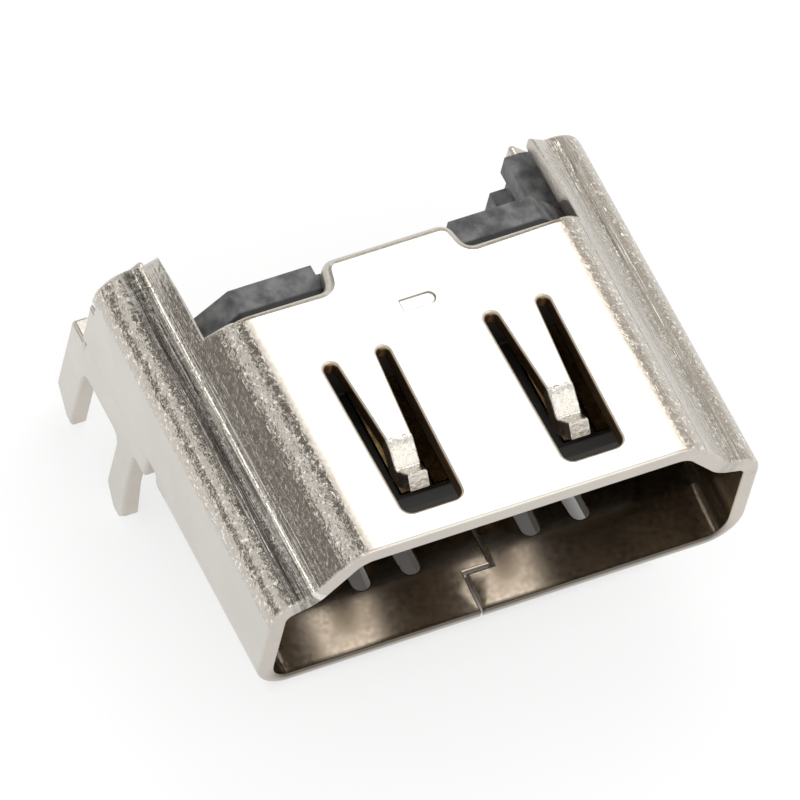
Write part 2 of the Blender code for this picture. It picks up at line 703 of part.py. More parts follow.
def make_insulator(material):
    """The moulded insulator: base block, foot, rear arms and the blade with its channels."""
    item = prism("housing", outline(-FIT), "Y", BASE_FRONT, INSULATOR_REAR)
    for side in (-1, 1):
        combine(item, crown_chamfer(side), "DIFFERENCE")
    foot_half = MOUTH_WIDTH / 2 - FIT
    foot = box("foot", (-foot_half, FLOOR_LENGTH + FIT, BOARD_CLEARANCE),
               (foot_half, INSULATOR_REAR, SHEET + FLOOR_BEND + FIT))
    combine(item, foot, "UNION")
    for side in (-1, 1):
        arm = prism("arm", arm_profile(side), "Y", INSULATOR_REAR - SHEET, ARM_REAR)
        combine(item, arm, "UNION")
    middle = (BLADE_TOP + BLADE_BOTTOM) / 2
    half_height = (BLADE_TOP - BLADE_BOTTOM) / 2
    nose = [
        (BASE_FRONT + SHEET, middle - half_height),
        (BASE_FRONT + SHEET, middle + half_height),
        (BLADE_FRONT + BLADE_NOSE, middle + half_height),
        (BLADE_FRONT, middle + half_height - BLADE_NOSE),
        (BLADE_FRONT, middle - half_height + BLADE_NOSE),
        (BLADE_FRONT + BLADE_NOSE, middle - half_height),
    ]
    combine(item, prism("blade", nose, "X", -BLADE_HALF_WIDTH, BLADE_HALF_WIDTH), "UNION")
    top = SHEET + MOUTH_HEIGHT - FIT
    relief = box("relief", (-REAR_RELIEF_HALF_WIDTH, INSULATOR_REAR - REAR_RELIEF, top - REAR_RELIEF_DEPTH),
                 (REAR_RELIEF_HALF_WIDTH, INSULATOR_REAR + OVERSHOOT, top + OVERSHOOT))
    combine(item, relief, "DIFFERENCE")
    front = CONTACT_TIP_Y - CONTACT_FIT
    rear = INSULATOR_REAR + OVERSHOOT
    for upper, row in ((False, lower_row()), (True, upper_row())):
        for x in row:
            combine(item, contact_channel(x, upper, front, rear), "DIFFERENCE")
    item.data.materials.clear()
    item.data.materials.append(material)
    return item


def contact_path(upper):
    """Middle line (y, z) of one contact, from its tip to its tail, with rounded bends."""
    level = contact_level(upper)
    drop = UPPER_DROP_Y if upper else LOWER_DROP_Y
    foot = BOARD_Z + CONTACT_THICKNESS / 2
    radius = TAIL_BEND + CONTACT_THICKNESS / 2
    corners = [
        (CONTACT_TIP_Y, level, 0.0),
        (TAIL_NECK_Y, level, 0.0),
        (drop, level, radius),
        (drop, foot, radius),
        (TAIL_END_Y, foot, 0.0),
    ]
    return rounded(corners, TAIL_BEND_STEPS)


def make_contact(name, x, upper, material):
    """One contact: a strip swept along its path, narrower from the neck to the tail."""
    path = contact_path(upper)
    bm = bmesh.new()
    rings = []
    for index, point in enumerate(path):
        before = path[max(index - 1, 0)]
        after = path[min(index + 1, len(path) - 1)]
        along = (after - before).normalized()
        if 0 < index < len(path) - 1:
            first = (point - before).normalized()
            second = (after - point).normalized()
            along = (first + second).normalized()
            stretch = 1.0 / along.dot(first)
        else:
            stretch = 1.0
        across = Vector((-along.y, along.x)) * (CONTACT_THICKNESS / 2 * stretch)
        widths = [CONTACT_WIDTH if index == 0 else TAIL_WIDTH]
        if index == 1:
            widths = [CONTACT_WIDTH, TAIL_WIDTH]
        for step, width in enumerate(widths):
            half = width / 2
            y = point.x + step * CONTACT_WIDTH / 2
            rings.append([
                bm.verts.new((x - half, y - across.x, point.y - across.y)),
                bm.verts.new((x + half, y - across.x, point.y - across.y)),
                bm.verts.new((x + half, y + across.x, point.y + across.y)),
                bm.verts.new((x - half, y + across.x, point.y + across.y)),
            ])
    bm.faces.new(rings[0])
    bm.faces.new(rings[-1])
    for ring, following in zip(rings, rings[1:]):
        for corner in range(4):
            after = (corner + 1) % 4
            bm.faces.new((ring[corner], ring[after], following[after], following[corner]))
    item = object_from_bmesh(name, bm)
    item.data.materials.append(material)
    return item


def make_spacer(material):
    """The comb that keeps the tails in line, held between the insulator's arms."""
    half = ARM_FOOT_X - FIT
    item = box("tail_spacer", (-half, SPACER_FRONT, SPACER_BOTTOM), (half, SPACER_REAR, SPACER_TOP))
    hole_half = TAIL_WIDTH / 2 + CONTACT_FIT
    reach = CONTACT_THICKNESS / 2 + CONTACT_FIT
    for drop, row in ((LOWER_DROP_Y, lower_row()), (UPPER_DROP_Y, upper_row())):
        for x in row:
            hole = box("hole", (x - hole_half, drop - reach, SPACER_BOTTOM - OVERSHOOT),
                       (x + hole_half, drop + reach, SPACER_TOP + OVERSHOOT))
            combine(item, hole, "DIFFERENCE")
    item.data.materials.clear()
    item.data.materials.append(material)
    return item


def build():
    """Model the whole receptacle."""
    clear_scene()
    nickel = finish_material("nickel_plate", (0.72, 0.70, 0.66), 0.28, 1.0)
    plastic = finish_material("black_plastic", (0.035, 0.037, 0.04), 0.55, 0.0)
    gold = finish_material("gold_plate", (0.86, 0.66, 0.30), 0.25, 1.0)
    make_shell(nickel)
    make_insulator(plastic)
    make_spacer(plastic)
    for index, x in enumerate(lower_row()):
        make_contact(f"contact_{2 * index + 1:02d}", x, False, gold)
    for index, x in enumerate(upper_row()):
        make_contact(f"contact_{2 * index + 2:02d}", x, True, gold)
    for item in bpy.data.objects:
        item.data.transform(Matrix.Translation((0.0, -ORIGIN_Y, 0.0)))


build()
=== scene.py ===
"""Looks of the board video receptacle: plated shell, moulded insulator and gilt contacts.

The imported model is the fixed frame. The shell is laid out flat as a sheet-metal pattern, given
rolled edges, folded along its bend lines and put in place of the plain solid. Sheet sizes are in
millimetres; a finished mesh is in metres, like the frame.
"""
import logging
import math
from dataclasses import dataclass, field
from enum import Enum, IntEnum

import bmesh
import bpy
from bmesh.types import BMesh, BMFace, BMVert
from bpy.types import Material, Mesh, Node, NodeSocket, NodeTree, Object
from mathutils import Matrix, Vector
from mathutils.geometry import delaunay_2d_cdt


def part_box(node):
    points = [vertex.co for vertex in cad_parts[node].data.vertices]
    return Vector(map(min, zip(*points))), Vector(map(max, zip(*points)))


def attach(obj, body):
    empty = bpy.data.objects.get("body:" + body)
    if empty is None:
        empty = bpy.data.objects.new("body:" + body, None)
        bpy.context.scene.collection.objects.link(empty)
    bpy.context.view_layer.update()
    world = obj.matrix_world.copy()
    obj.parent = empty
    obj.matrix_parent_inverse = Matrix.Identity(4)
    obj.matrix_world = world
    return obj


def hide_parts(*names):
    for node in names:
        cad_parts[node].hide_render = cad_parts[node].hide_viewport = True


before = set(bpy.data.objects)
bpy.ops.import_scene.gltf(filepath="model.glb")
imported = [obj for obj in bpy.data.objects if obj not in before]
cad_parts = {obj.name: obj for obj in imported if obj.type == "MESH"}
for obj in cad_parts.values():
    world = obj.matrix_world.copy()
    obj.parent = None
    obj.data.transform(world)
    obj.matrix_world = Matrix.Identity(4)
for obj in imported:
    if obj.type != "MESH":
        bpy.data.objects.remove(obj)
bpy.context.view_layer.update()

LOG = logging.getLogger("receptacle")
MM = 0.001
SAME_PLACE = 1e-5
CUT_TOLERANCE = 1e-6

Corner = tuple[float, ...]
Colour = tuple[float, float, float]
Span = tuple[float, ...]
Inputs = dict[int | str, object]
Ring = list[BMVert]


class Side(Enum):
    """The two sides of the part, with the sign of X."""

    LEFT = -1
    RIGHT = 1


class Bend(IntEnum):
    """The folds of the shell's section, from the roof down to the floor."""

    CROWN = 0
    VALLEY = 1
    SHOULDER = 2
    HEEL = 3


# Plain geometry helpers.


def smooth(value: float, low: float, high: float) -> float:
    """Rise smoothly from 0 at low to 1 at high."""
    share = min(max((value - low) / (high - low), 0.0), 1.0)
    return share * share * (3.0 - 2.0 * share)


@dataclass(frozen=True)
class Station:
    """One ring of a rolled edge.

    The ring is inset by share of the edge's own roll, plus inset. It lies at height, less drop
    times the roll.
    """

    share: float
    inset: float
    drop: float
    height: float
    cut: float


@dataclass(frozen=True)
class EdgeRoll:
    """How a sheared edge is rounded on the sheet's two skins, in millimetres."""

    thickness: float
    outer: float
    inner: float
    steps: int = 4

    def stations(self) -> list[Station]:
        """List the edge's rings from the outer skin to the inner one."""
        half = self.thickness / 2
        turns = [math.pi / 2 * step / self.steps for step in range(self.steps + 1)]
        outer = [Station(1 - math.sin(turn), 0.0, 1 - math.cos(turn), half, math.sin(turn))
                 for turn in turns]
        inner = [Station(0.0, self.inner * (1 - math.cos(turn)), 0.0,
                         self.inner * (1 - math.sin(turn)) - half, math.cos(turn))
                 for turn in turns]
        return outer + inner


def offset_ring(corners: list[Corner], insets: list[float],
                steps: int) -> list[tuple[Vector, int, float]]:
    """Round a closed outline's corners after moving its edges to their left.

    Args:
        corners: Corner points with their fillet radii, in order round the outline.
        insets: How far each edge moves, towards the material; edge 0 leaves corner 0.
        steps: Segments in each fillet.

    Returns:
        The points of the moved outline, as many for any insets, each with the index of its
        corner and its share of the way from the arriving edge to the leaving one.
    """
    smallest_fillet = 0.002
    nearly_straight = 0.9
    points = [Vector(corner[:2]) for corner in corners]
    count = len(points)
    ring: list[tuple[Vector, int, float]] = []
    for index, corner in enumerate(corners):
        here, radius = points[index], corner[2]
        arriving = (here - points[index - 1]).normalized()
        leaving = (points[(index + 1) % count] - here).normalized()
        left_in = Vector((-arriving.y, arriving.x))
        left_out = Vector((-leaving.y, leaving.x))
        first, second = insets[index - 1], insets[index]
        aligned = left_in.dot(left_out)
        if aligned > nearly_straight:
            moved = here + (left_in * first + left_out * second) / (1.0 + aligned)
        else:
            shift = left_in * (first - second * aligned) + left_out * (second - first * aligned)
            moved = here + shift / (1.0 - aligned * aligned)
        if radius <= 0.0:
            ring.append((moved, index, 0.5))
            continue
        turn = math.atan2(arriving.cross(leaving), aligned)
        grown = max(radius - math.copysign((first + second) / 2, turn), smallest_fillet)
        reach = grown * math.tan(abs(turn) / 2)
        towards = left_in * math.copysign(grown, turn)
        centre = moved - arriving * reach + towards
        for step in range(steps + 1):
            swung = Matrix.Rotation(turn * step / steps, 2) @ towards
            ring.append((centre - swung, index, step / steps))
    return ring


def layers(bm: BMesh, *names: str) -> list[bmesh.types.BMLayerItem]:
    """Find the mesh's number layers by name."""
    return [bm.verts.layers.float[name] for name in names]


def bridge(bm: BMesh, rings: list[Ring]) -> None:
    """Join closed rings of as many vertices with faces.

    Args:
        bm: The mesh.
        rings: The rings in order.
    """
    count = len(rings[0])
    for upper, lower in zip(rings, rings[1:]):
        for index in range(count):
            after = (index + 1) % count
            bm.faces.new((upper[index], upper[after], lower[after], lower[index]))


def encloses(loops: list[list[Vector]], point: Vector) -> bool:
    """Tell whether a point lies in the region between closed loops.

    Args:
        loops: The outline and its holes.
        point: The point.

    Returns:
        True where an odd number of loops goes round the point.
    """
    inside = False
    for loop in loops:
        for start, end in zip(loop, loop[1:] + loop[:1]):
            if (start.y > point.y) != (end.y > point.y):
                share = (point.y - start.y) / (end.y - start.y)
                inside ^= point.x < start.x + (end.x - start.x) * share
    return inside


def fill_cap(bm: BMesh, rings: list[Ring]) -> None:
    """Fill the flat region between an outline and its holes with triangles.

    Args:
        bm: The mesh.
        rings: The vertices round the outline and round each hole.
    """
    verts = [vert for ring in rings for vert in ring]
    edges: list[tuple[int, int]] = []
    for ring in rings:
        first, count = len(edges), len(ring)
        edges += [(first + step, first + (step + 1) % count) for step in range(count)]
    flat = [vert.co.xy for vert in verts]
    points, _, faces, origins, _, _ = delaunay_2d_cdt(flat, edges, [], 1, CUT_TOLERANCE)
    loops = [[vert.co.xy for vert in ring] for ring in rings]
    for face in faces:
        middle = sum((points[corner] for corner in face), Vector((0.0, 0.0))) / len(face)
        if all(origins[corner] for corner in face) and encloses(loops, middle):
            bm.faces.new([verts[origins[corner][0]] for corner in face])


def sheet_body(bm: BMesh, loops: list[list[Corner]], roll: EdgeRoll, fillet_steps: int,
               pressed: list[Ring]) -> None:
    """Add one flat sheet body with rolled edges, lying in XY about Z = 0.

    Args:
        bm: Mesh to add to; its float layers "cut" and "inner" are filled.
        loops: The outline counter-clockwise and its holes clockwise. A corner's fourth number,
            where it has one, is the outer roll of the edge that leaves it.
        roll: Profile of the edges.
        fillet_steps: Segments in each corner fillet.
        pressed: Rings on the outer skin that its cap leaves open.
    """
    cut, inner = layers(bm, "cut", "inner")
    top = list(pressed)
    bottom: list[Ring] = []
    for corners in loops:
        rolls = [corner[3] if len(corner) > 3 else roll.outer for corner in corners]
        rings = []
        for station in roll.stations():
            insets = [own * station.share + station.inset for own in rolls]
            ring = []
            for point, index, share in offset_ring(corners, insets, fillet_steps):
                own = rolls[index - 1] * (1 - share) + rolls[index] * share
                vert = bm.verts.new((point.x, point.y, station.height - own * station.drop))
                vert[cut] = station.cut
                vert[inner] = 1.0 if station.height < 0.0 else 0.0
                ring.append(vert)
            rings.append(ring)
        bridge(bm, rings)
        top.append(rings[0])
        bottom.append(rings[-1])
    fill_cap(bm, top)
    fill_cap(bm, bottom)


def cut_at(bm: BMesh, axis: int, value: float, faces: list[BMFace] | None = None) -> None:
    """Cut faces with a plane square to one axis, without removing anything.

    Args:
        bm: The mesh.
        axis: Index of the plane's normal axis.
        value: Where the plane stands on that axis.
        faces: The faces to cut, or None for all of them.
    """
    chosen = list(bm.faces) if faces is None else faces
    edges = {edge for face in chosen for edge in face.edges}
    verts = {vert for face in chosen for vert in face.verts}
    normal = Vector((0.0, 0.0, 0.0))
    normal[axis] = 1.0
    bmesh.ops.bisect_plane(bm, geom=[*verts, *edges, *chosen], dist=CUT_TOLERANCE,
                           plane_co=normal * value, plane_no=normal)


def add_object(name: str, data: bpy.types.ID, place: Matrix | None = None) -> Object:
    """Put new data in the scene as an object.

    Args:
        name: The object's name.
        data: Its mesh, lamp or camera.
        place: Its world matrix, or None for the origin.

    Returns:
        The object.
    """
    new = bpy.data.objects.new(name, data)
    new.matrix_world = place or Matrix.Identity(4)
    bpy.context.scene.collection.objects.link(new)
    return new


def dressed_object(name: str, mesh: Mesh, material: Material) -> Object:
    """Put a finished mesh in the scene as a smooth object of the root body.

    Args:
        name: The piece's name.
        mesh: Its mesh, in metres in the row frame.
        material: Its finish.

    Returns:
        The new object.
    """
    piece = add_object(name, mesh)
    mesh.materials.clear()
    mesh.materials.append(material)
    mesh.shade_smooth()
    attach(piece, "root")
    return piece


def facing(direction: Corner, distance: float) -> Matrix:
    """Find the world matrix of a flat thing that stands square to the part, some metres off."""
    aim = Vector(direction).normalized()
    return Matrix.Translation(aim * distance) @ aim.to_track_quat("Z", "Y").to_matrix().to_4x4()


def staged_sheet(name: str, wide: float, tall: float, z: float, material: Material,
                 place: Matrix | None = None) -> Object:
    """Stand a plain rectangle in the studio.

    Args:
        name: Its name.
        wide: Half its width, in metres.
        tall: Half its height, in metres.
        z: Its own height, in metres.
        material: Its finish.
        place: Its world matrix, or None for the origin.

    Returns:
        The object.
    """
    mesh = bpy.data.meshes.new(name)
    corners = [(-wide, -tall, z), (wide, -tall, z), (wide, tall, z), (-wide, tall, z)]
    mesh.from_pydata(corners, [], [tuple(range(len(corners)))])
    mesh.materials.append(material)
    sheet = add_object(name, mesh, place)
    return sheet


# Shader groups that several finishes share.


class NodeBoard:
    """A node tree with short calls to add and join its nodes."""

    def __init__(self, tree: NodeTree) -> None:
        """Keep the tree."""
        self.tree = tree

    def feed(self, node: Node, inputs: Inputs) -> None:
        """Set a node's sockets from values, or join them to other sockets.

        Args:
            node: The node.
            inputs: An output socket or a value for each input, by name or number.
        """
        for key, source in inputs.items():
            socket = node.inputs[key]
            if isinstance(source, NodeSocket):
                self.tree.links.new(source, socket)
            elif socket.type == "RGBA":
                socket.default_value = (*source, 1.0)
            else:
                socket.default_value = source

    def add(self, kind: str, inputs: Inputs | None = None, **values: object) -> Node:
        """Add a node.

        Args:
            kind: The node's type name.
            inputs: What its inputs get, by name or number.
            values: Attributes to set on it.

        Returns:
            The node.
        """
        node = self.tree.nodes.new(kind)
        for key, value in values.items():
            setattr(node, key, value)
        self.feed(node, inputs or {})
        return node

    def maths(self, operation: str, first: object, second: object = 0.0,
              clamp: bool = False) -> NodeSocket:
        """Work out one Math node, kept between 0 and 1 where clamp is set."""
        inputs = {0: first, 1: second}
        node = self.add("ShaderNodeMath", inputs, operation=operation, use_clamp=clamp)
        return node.outputs[0]

    def times(self, *factors: object) -> NodeSocket:
        """Multiply several values.

        Args:
            factors: Two or more values or sockets.

        Returns:
            The product's socket.
        """
        product = factors[0]
        for factor in factors[1:]:
            product = self.maths("MULTIPLY", product, factor)
        return product

    def ramp(self, value: object, low: float, high: float, to_low: float = 0.0,
             to_high: float = 1.0) -> NodeSocket:
        """Map a value smoothly from low and high to to_low and to_high."""
        inputs = dict(enumerate((value, low, high, to_low, to_high)))
        node = self.add("ShaderNodeMapRange", inputs, interpolation_type="SMOOTHSTEP")
        return node.outputs["Result"]

    def mix(self, factor: object, first: object, second: object) -> NodeSocket:
        """Mix two colours, with the factor as the second one's share."""
        inputs = {0: factor, 6: first, 7: second}
        return self.add("ShaderNodeMix", inputs, data_type="RGBA").outputs[2]

    def scaled(self, colour: object, factor: object) -> NodeSocket:
        """Make a colour some times brighter."""
        inputs = {0: colour, "Scale": factor}
        return self.add("ShaderNodeVectorMath", inputs, operation="SCALE").outputs[0]

    def noise(self, vector: object, scale: object, detail: float = 3.0) -> NodeSocket:
        """Read a noise at a place, with its scale and its number of octaves."""
        inputs = {"Vector": vector, "Scale": scale, "Detail": detail}
        return self.add("ShaderNodeTexNoise", inputs).outputs[0]

    def bump(self, height: NodeSocket, depth: float) -> NodeSocket:
        """Bend the normal by a height from 0 to 1, with the depth of 1 in metres."""
        inputs = {"Distance": depth, "Strength": 1.0, "Height": height}
        return self.add("ShaderNodeBump", inputs).outputs[0]

    def attribute(self, name: str) -> NodeSocket:
        """Read one number per point from the mesh."""
        return self.add("ShaderNodeAttribute", attribute_name=name).outputs["Fac"]

    def place(self) -> NodeSocket:
        """Read the place on the object, in metres."""
        return self.add("ShaderNodeTexCoord").outputs["Object"]

    def along(self, axis: str) -> NodeSocket:
        """Read one coordinate of the place on the object."""
        return self.add("ShaderNodeSeparateXYZ", {0: self.place()}).outputs[axis]


class SurfaceEffects:
    """The shader groups that more than one finish uses."""

    OCTAVES = 2.0
    SPECK_OCTAVES = 1.0
    SPECK_DENSITY = 1.6
    SPECK_SPAN: Span = (0.6, 0.7)
    FINE_OCTAVES = 3.0
    FINE_DENSITY = 9.0

    def __init__(self) -> None:
        """Build every group once."""
        self.grain = self.make_grain()
        self.mottle = self.make_mottle()

    @staticmethod
    def new_group(name: str, size_input: str,
                  outputs: tuple[str, str]) -> tuple[NodeBoard, NodeSocket, Node]:
        """Start a group that takes the size of its spots.

        Args:
            name: The group's name.
            size_input: Name of its input, in millimetres.
            outputs: Names of its two number outputs.

        Returns:
            A board on the group, the density of its noise per metre, and its output node.
        """
        tree = bpy.data.node_groups.new(name, "ShaderNodeTree")
        number = "NodeSocketFloat"
        size = tree.interface.new_socket(size_input, in_out="INPUT", socket_type=number)
        size.default_value = 1.0
        for label in outputs:
            tree.interface.new_socket(label, in_out="OUTPUT", socket_type=number)
        board = NodeBoard(tree)
        density = board.maths("DIVIDE", 1.0 / MM, board.add("NodeGroupInput").outputs[size_input])
        return board, density, board.add("NodeGroupOutput")

    def make_grain(self) -> NodeTree:
        """Build a pebbled grain, for stretched plating and for moulded skin.

        Returns:
            The group, with outputs Height and Speck.
        """
        board, density, leave = self.new_group("pebble grain", "Size", ("Height", "Speck"))
        place = board.place()
        height = board.noise(place, density, self.OCTAVES)
        closer = board.times(density, self.SPECK_DENSITY)
        speck = board.ramp(board.noise(place, closer, self.SPECK_OCTAVES), *self.SPECK_SPAN)
        board.feed(leave, {"Height": height, "Speck": speck})
        return board.tree

    def make_mottle(self) -> NodeTree:
        """Build the slow unevenness of a surface, about one spot wide.

        Returns:
            The group, with outputs Broad and Fine.
        """
        board, density, leave = self.new_group("mottle", "Spot", ("Broad", "Fine"))
        place = board.place()
        fine = board.noise(place, board.times(density, self.FINE_DENSITY), self.FINE_OCTAVES)
        board.feed(leave, {"Broad": board.noise(place, density, self.OCTAVES), "Fine": fine})
        return board.tree


def emptied(owner: Material | bpy.types.World) -> NodeBoard:
    """Clear the node tree of a material or world and put a board on it."""
    owner.use_nodes = True
    owner.node_tree.nodes.clear()
    return NodeBoard(owner.node_tree)


def new_material(name: str) -> tuple[Material, NodeBoard, Node]:
    """Start a material.

    Args:
        name: Its name.

    Returns:
        The material, a board on its tree, and its Principled shader.
    """
    material = bpy.data.materials.new(name)
    material.use_nodes = True
    return material, NodeBoard(material.node_tree), material.node_tree.nodes["Principled BSDF"]


# Finishes.


@dataclass(frozen=True)
class NickelPlate:
    """Bright nickel on sheet: even on the flats, pebbled and browner where the sheet is bent."""

    flat: Colour = (0.62, 0.60, 0.55)
    stretched: Colour = (0.55, 0.50, 0.435)
    pit: Colour = (0.2, 0.17, 0.14)
    # The pale glint colour is a painted highlight: sparkle of light on the raised grain.
    painted_glint: Colour = (0.95, 0.92, 0.85)
    sheared: Colour = (0.60, 0.555, 0.50)
    # The inside colour is painted shade: the whole inner skin is darker and browner than the outer
    # one.
    inside: Colour = (0.46, 0.385, 0.30)
    # Dark brown painted as shade on the cut walls of the roof slots.
    slot_shade_colour: Colour = (0.36, 0.24, 0.13)
    # Near black painted as shade on the mark's walls and on the floor's lip at the mouth.
    painted_shade_colour: Colour = (0.05, 0.04, 0.03)
    flat_roughness: float = 0.22
    bent_roughness: float = 0.2
    cut_roughness: float = 0.34
    spot_mm: float = 1.4
    grain_mm: float = 0.12
    grain_depth: float = 0.03 * MM
    pitted: float = 0.4
    painted_glint_strength: float = 0.9
    line_width_mm: float = 0.09
    line_length: float = 0.03
    line_dark: float = 0.5
    line_height: float = 0.8
    slot_shade_strength: float = 0.85
    streak_and_sheen_least: float = 0.06
    patches: Span = (0.35, 0.65, 0.55, 1.0)
    pits_over: Span = (0.25, 0.9)
    raised_over: Span = (0.55, 0.68)
    painted_glint_over: Span = (0.3, 0.9)
    dark_lines_over: Span = (0.54, 0.66)
    sheared_over: Span = (0.4, 0.95)
    slot_shade_over: Span = (0.2, 0.9)
    streak_and_sheen_over: Span = (0.3, 0.7, 0.35, 0.75)
    shading: Span = (0.3, 0.7, 0.97, 1.02)
    unevenness: Span = (0.3, 0.7, -0.03, 0.03)
    pebbles: Span = (0.0, 0.9, 0.02, 1.0)

    def drawn_lines(self, board: NodeBoard) -> NodeSocket:
        """Draw the fine die lines that run along Y.

        Args:
            board: The material's board.

        Returns:
            The socket of their noise.
        """
        narrow = 1.0 / (self.line_width_mm * MM)
        stretched = (narrow, narrow * self.line_length, narrow)
        inputs = {0: board.place(), 1: stretched}
        scaled = board.add("ShaderNodeVectorMath", inputs, operation="MULTIPLY")
        return board.noise(scaled.outputs[0], 1.0, 2.0)

    def material(self, effects: SurfaceEffects) -> Material:
        """Build the finish.

        Args:
            effects: The shared shader groups.

        Returns:
            The material.
        """
        material, board, shader = new_material("nickel plate")
        stretch, drawn, cut, grainy = map(board.attribute, ("stretch", "drawn", "cut", "grain"))
        mottle = board.add("ShaderNodeGroup", {"Spot": self.spot_mm}, node_tree=effects.mottle)
        grain = board.add("ShaderNodeGroup", {"Size": self.grain_mm}, node_tree=effects.grain)
        lines = self.drawn_lines(board)
        patchy = board.ramp(mottle.outputs["Fine"], *self.patches)
        colour = board.mix(board.times(stretch, patchy), self.flat, self.stretched)
        # Painted shade: the inner skin takes the darker inside colour.
        colour = board.mix(board.attribute("inner"), colour, self.inside)
        pits = board.times(grain.outputs["Speck"], board.ramp(grainy, *self.pits_over), self.pitted)
        colour = board.mix(pits, colour, self.pit)
        # Painted highlight: raised grain where the sheet is bent takes the pale glint colour.
        raised = board.ramp(grain.outputs["Height"], *self.raised_over)
        painted_glints = board.times(raised, board.ramp(grainy, *self.painted_glint_over), self.painted_glint_strength)
        colour = board.mix(painted_glints, colour, self.painted_glint)
        dark_lines = board.times(board.ramp(lines, *self.dark_lines_over), drawn, self.line_dark)
        colour = board.mix(dark_lines, colour, self.pit)
        colour = board.mix(board.ramp(cut, *self.sheared_over), colour, self.sheared)
        # Painted shade: the cut walls of the roof slots are darkened to brown.
        slot_shade = board.times(board.ramp(board.attribute("slot_shade"), *self.slot_shade_over), self.slot_shade_strength)
        colour = board.mix(slot_shade, colour, self.slot_shade_colour)
        # Die streaks and painted light in the valley: over 0 darkens with painted shade, under 0
        # brightens as a painted highlight line.
        streak_and_sheen = board.times(board.attribute("line"), board.ramp(lines, *self.streak_and_sheen_over))
        left = board.maths("MAXIMUM", board.maths("SUBTRACT", 1.0, streak_and_sheen), self.streak_and_sheen_least)
        colour = board.scaled(colour, left)
        # Painted shade on the mark's walls and on the floor's lip.
        colour = board.mix(board.attribute("painted_shade"), colour, self.painted_shade_colour)
        colour = board.scaled(colour, board.ramp(mottle.outputs["Broad"], *self.shading))
        rough = board.ramp(stretch, 0.0, 1.0, self.flat_roughness, self.bent_roughness)
        sheared = board.times(cut, self.cut_roughness - self.flat_roughness)
        rough = board.maths("ADD", rough, sheared)
        rough = board.maths("ADD", rough, board.ramp(mottle.outputs["Fine"], *self.unevenness))
        height = board.times(grain.outputs["Height"], board.ramp(grainy, *self.pebbles), patchy)
        height = board.maths("ADD", height, board.times(lines, drawn, self.line_height))
        board.feed(shader, {"Base Color": colour, "Metallic": 1.0, "Roughness": rough,
                            "Normal": board.bump(height, self.grain_depth)})
        return material


@dataclass(frozen=True)
class BlackMoulding:
    """Black moulded plastic, dulled to grey on its open rear, with a few pale specks, and painted
    near black inside the mouth as painted shade.
    """

    # Near black painted as shade inside the mouth.
    painted_inside_shade: Colour = (0.014, 0.0135, 0.013)
    dull: Colour = (0.07, 0.073, 0.08)
    worn: Colour = (0.25, 0.25, 0.245)
    speck: Colour = (0.6, 0.59, 0.57)
    shade_fade_from: float = 5.02 * MM
    shade_fade_to: float = 5.12 * MM
    roughness: float = 0.5
    uneven: float = 0.06
    uneven_over: Span = (0.3, 0.7)
    worn_over: Span = (0.25, 0.8)
    specks_over: Span = (0.62, 0.66)
    spot_mm: float = 0.45
    grain_mm: float = 0.07
    grain_depth: float = 0.004 * MM

    def material(self, effects: SurfaceEffects) -> Material:
        """Build the finish.

        Args:
            effects: The shared shader groups.

        Returns:
            The material.
        """
        material, board, shader = new_material("black moulding")
        mottle = board.add("ShaderNodeGroup", {"Spot": self.spot_mm}, node_tree=effects.mottle)
        grain = board.add("ShaderNodeGroup", {"Size": self.grain_mm}, node_tree=effects.grain)
        fine = mottle.outputs["Fine"]
        # Painted shade: in front of the open rear the moulding takes the near-black colour.
        unshaded = board.ramp(board.along("Y"), self.shade_fade_from, self.shade_fade_to)
        shade = board.mix(board.ramp(mottle.outputs["Broad"], *self.worn_over), self.dull, self.worn)
        colour = board.mix(unshaded, self.painted_inside_shade, shade)
        specks = board.times(grain.outputs["Speck"], board.ramp(fine, *self.specks_over), unshaded)
        colour = board.mix(specks, colour, self.speck)
        rough = board.ramp(fine, *self.uneven_over, self.roughness - self.uneven,
                           self.roughness + self.uneven)
        board.feed(shader, {"Base Color": colour, "Roughness": rough,
                            "Normal": board.bump(grain.outputs["Height"], self.grain_depth)})
        return material


@dataclass(frozen=True)
class GoldPlate:
    """Gold plating on the contacts, a little uneven."""

    bright: Colour = (0.84, 0.60, 0.27)
    dull: Colour = (0.34, 0.21, 0.09)
    roughness: float = 0.25
    dull_roughness: float = 0.33
    dull_over: Span = (0.35, 0.65)
    spot_mm: float = 0.5

    def material(self, effects: SurfaceEffects) -> Material:
        """Build the finish.

        Args:
            effects: The shared shader groups.

        Returns:
            The material.
        """
        material, board, shader = new_material("gold plate")
        mottle = board.add("ShaderNodeGroup", {"Spot": self.spot_mm}, node_tree=effects.mottle)
        shade = board.ramp(mottle.outputs["Broad"], *self.dull_over)
        rough = board.ramp(shade, 0.0, 1.0, self.roughness, self.dull_roughness)
        board.feed(shader, {"Base Color": board.mix(shade, self.bright, self.dull), "Metallic": 1.0,
                            "Roughness": rough})
        return material


# The shell.


@dataclass(frozen=True)
class Fold:
    """One fold of the section: where its flats would meet, its inner radius and its sense."""

    x: float
    z: float
    inner_radius: float
    convex: bool
    stretch: float


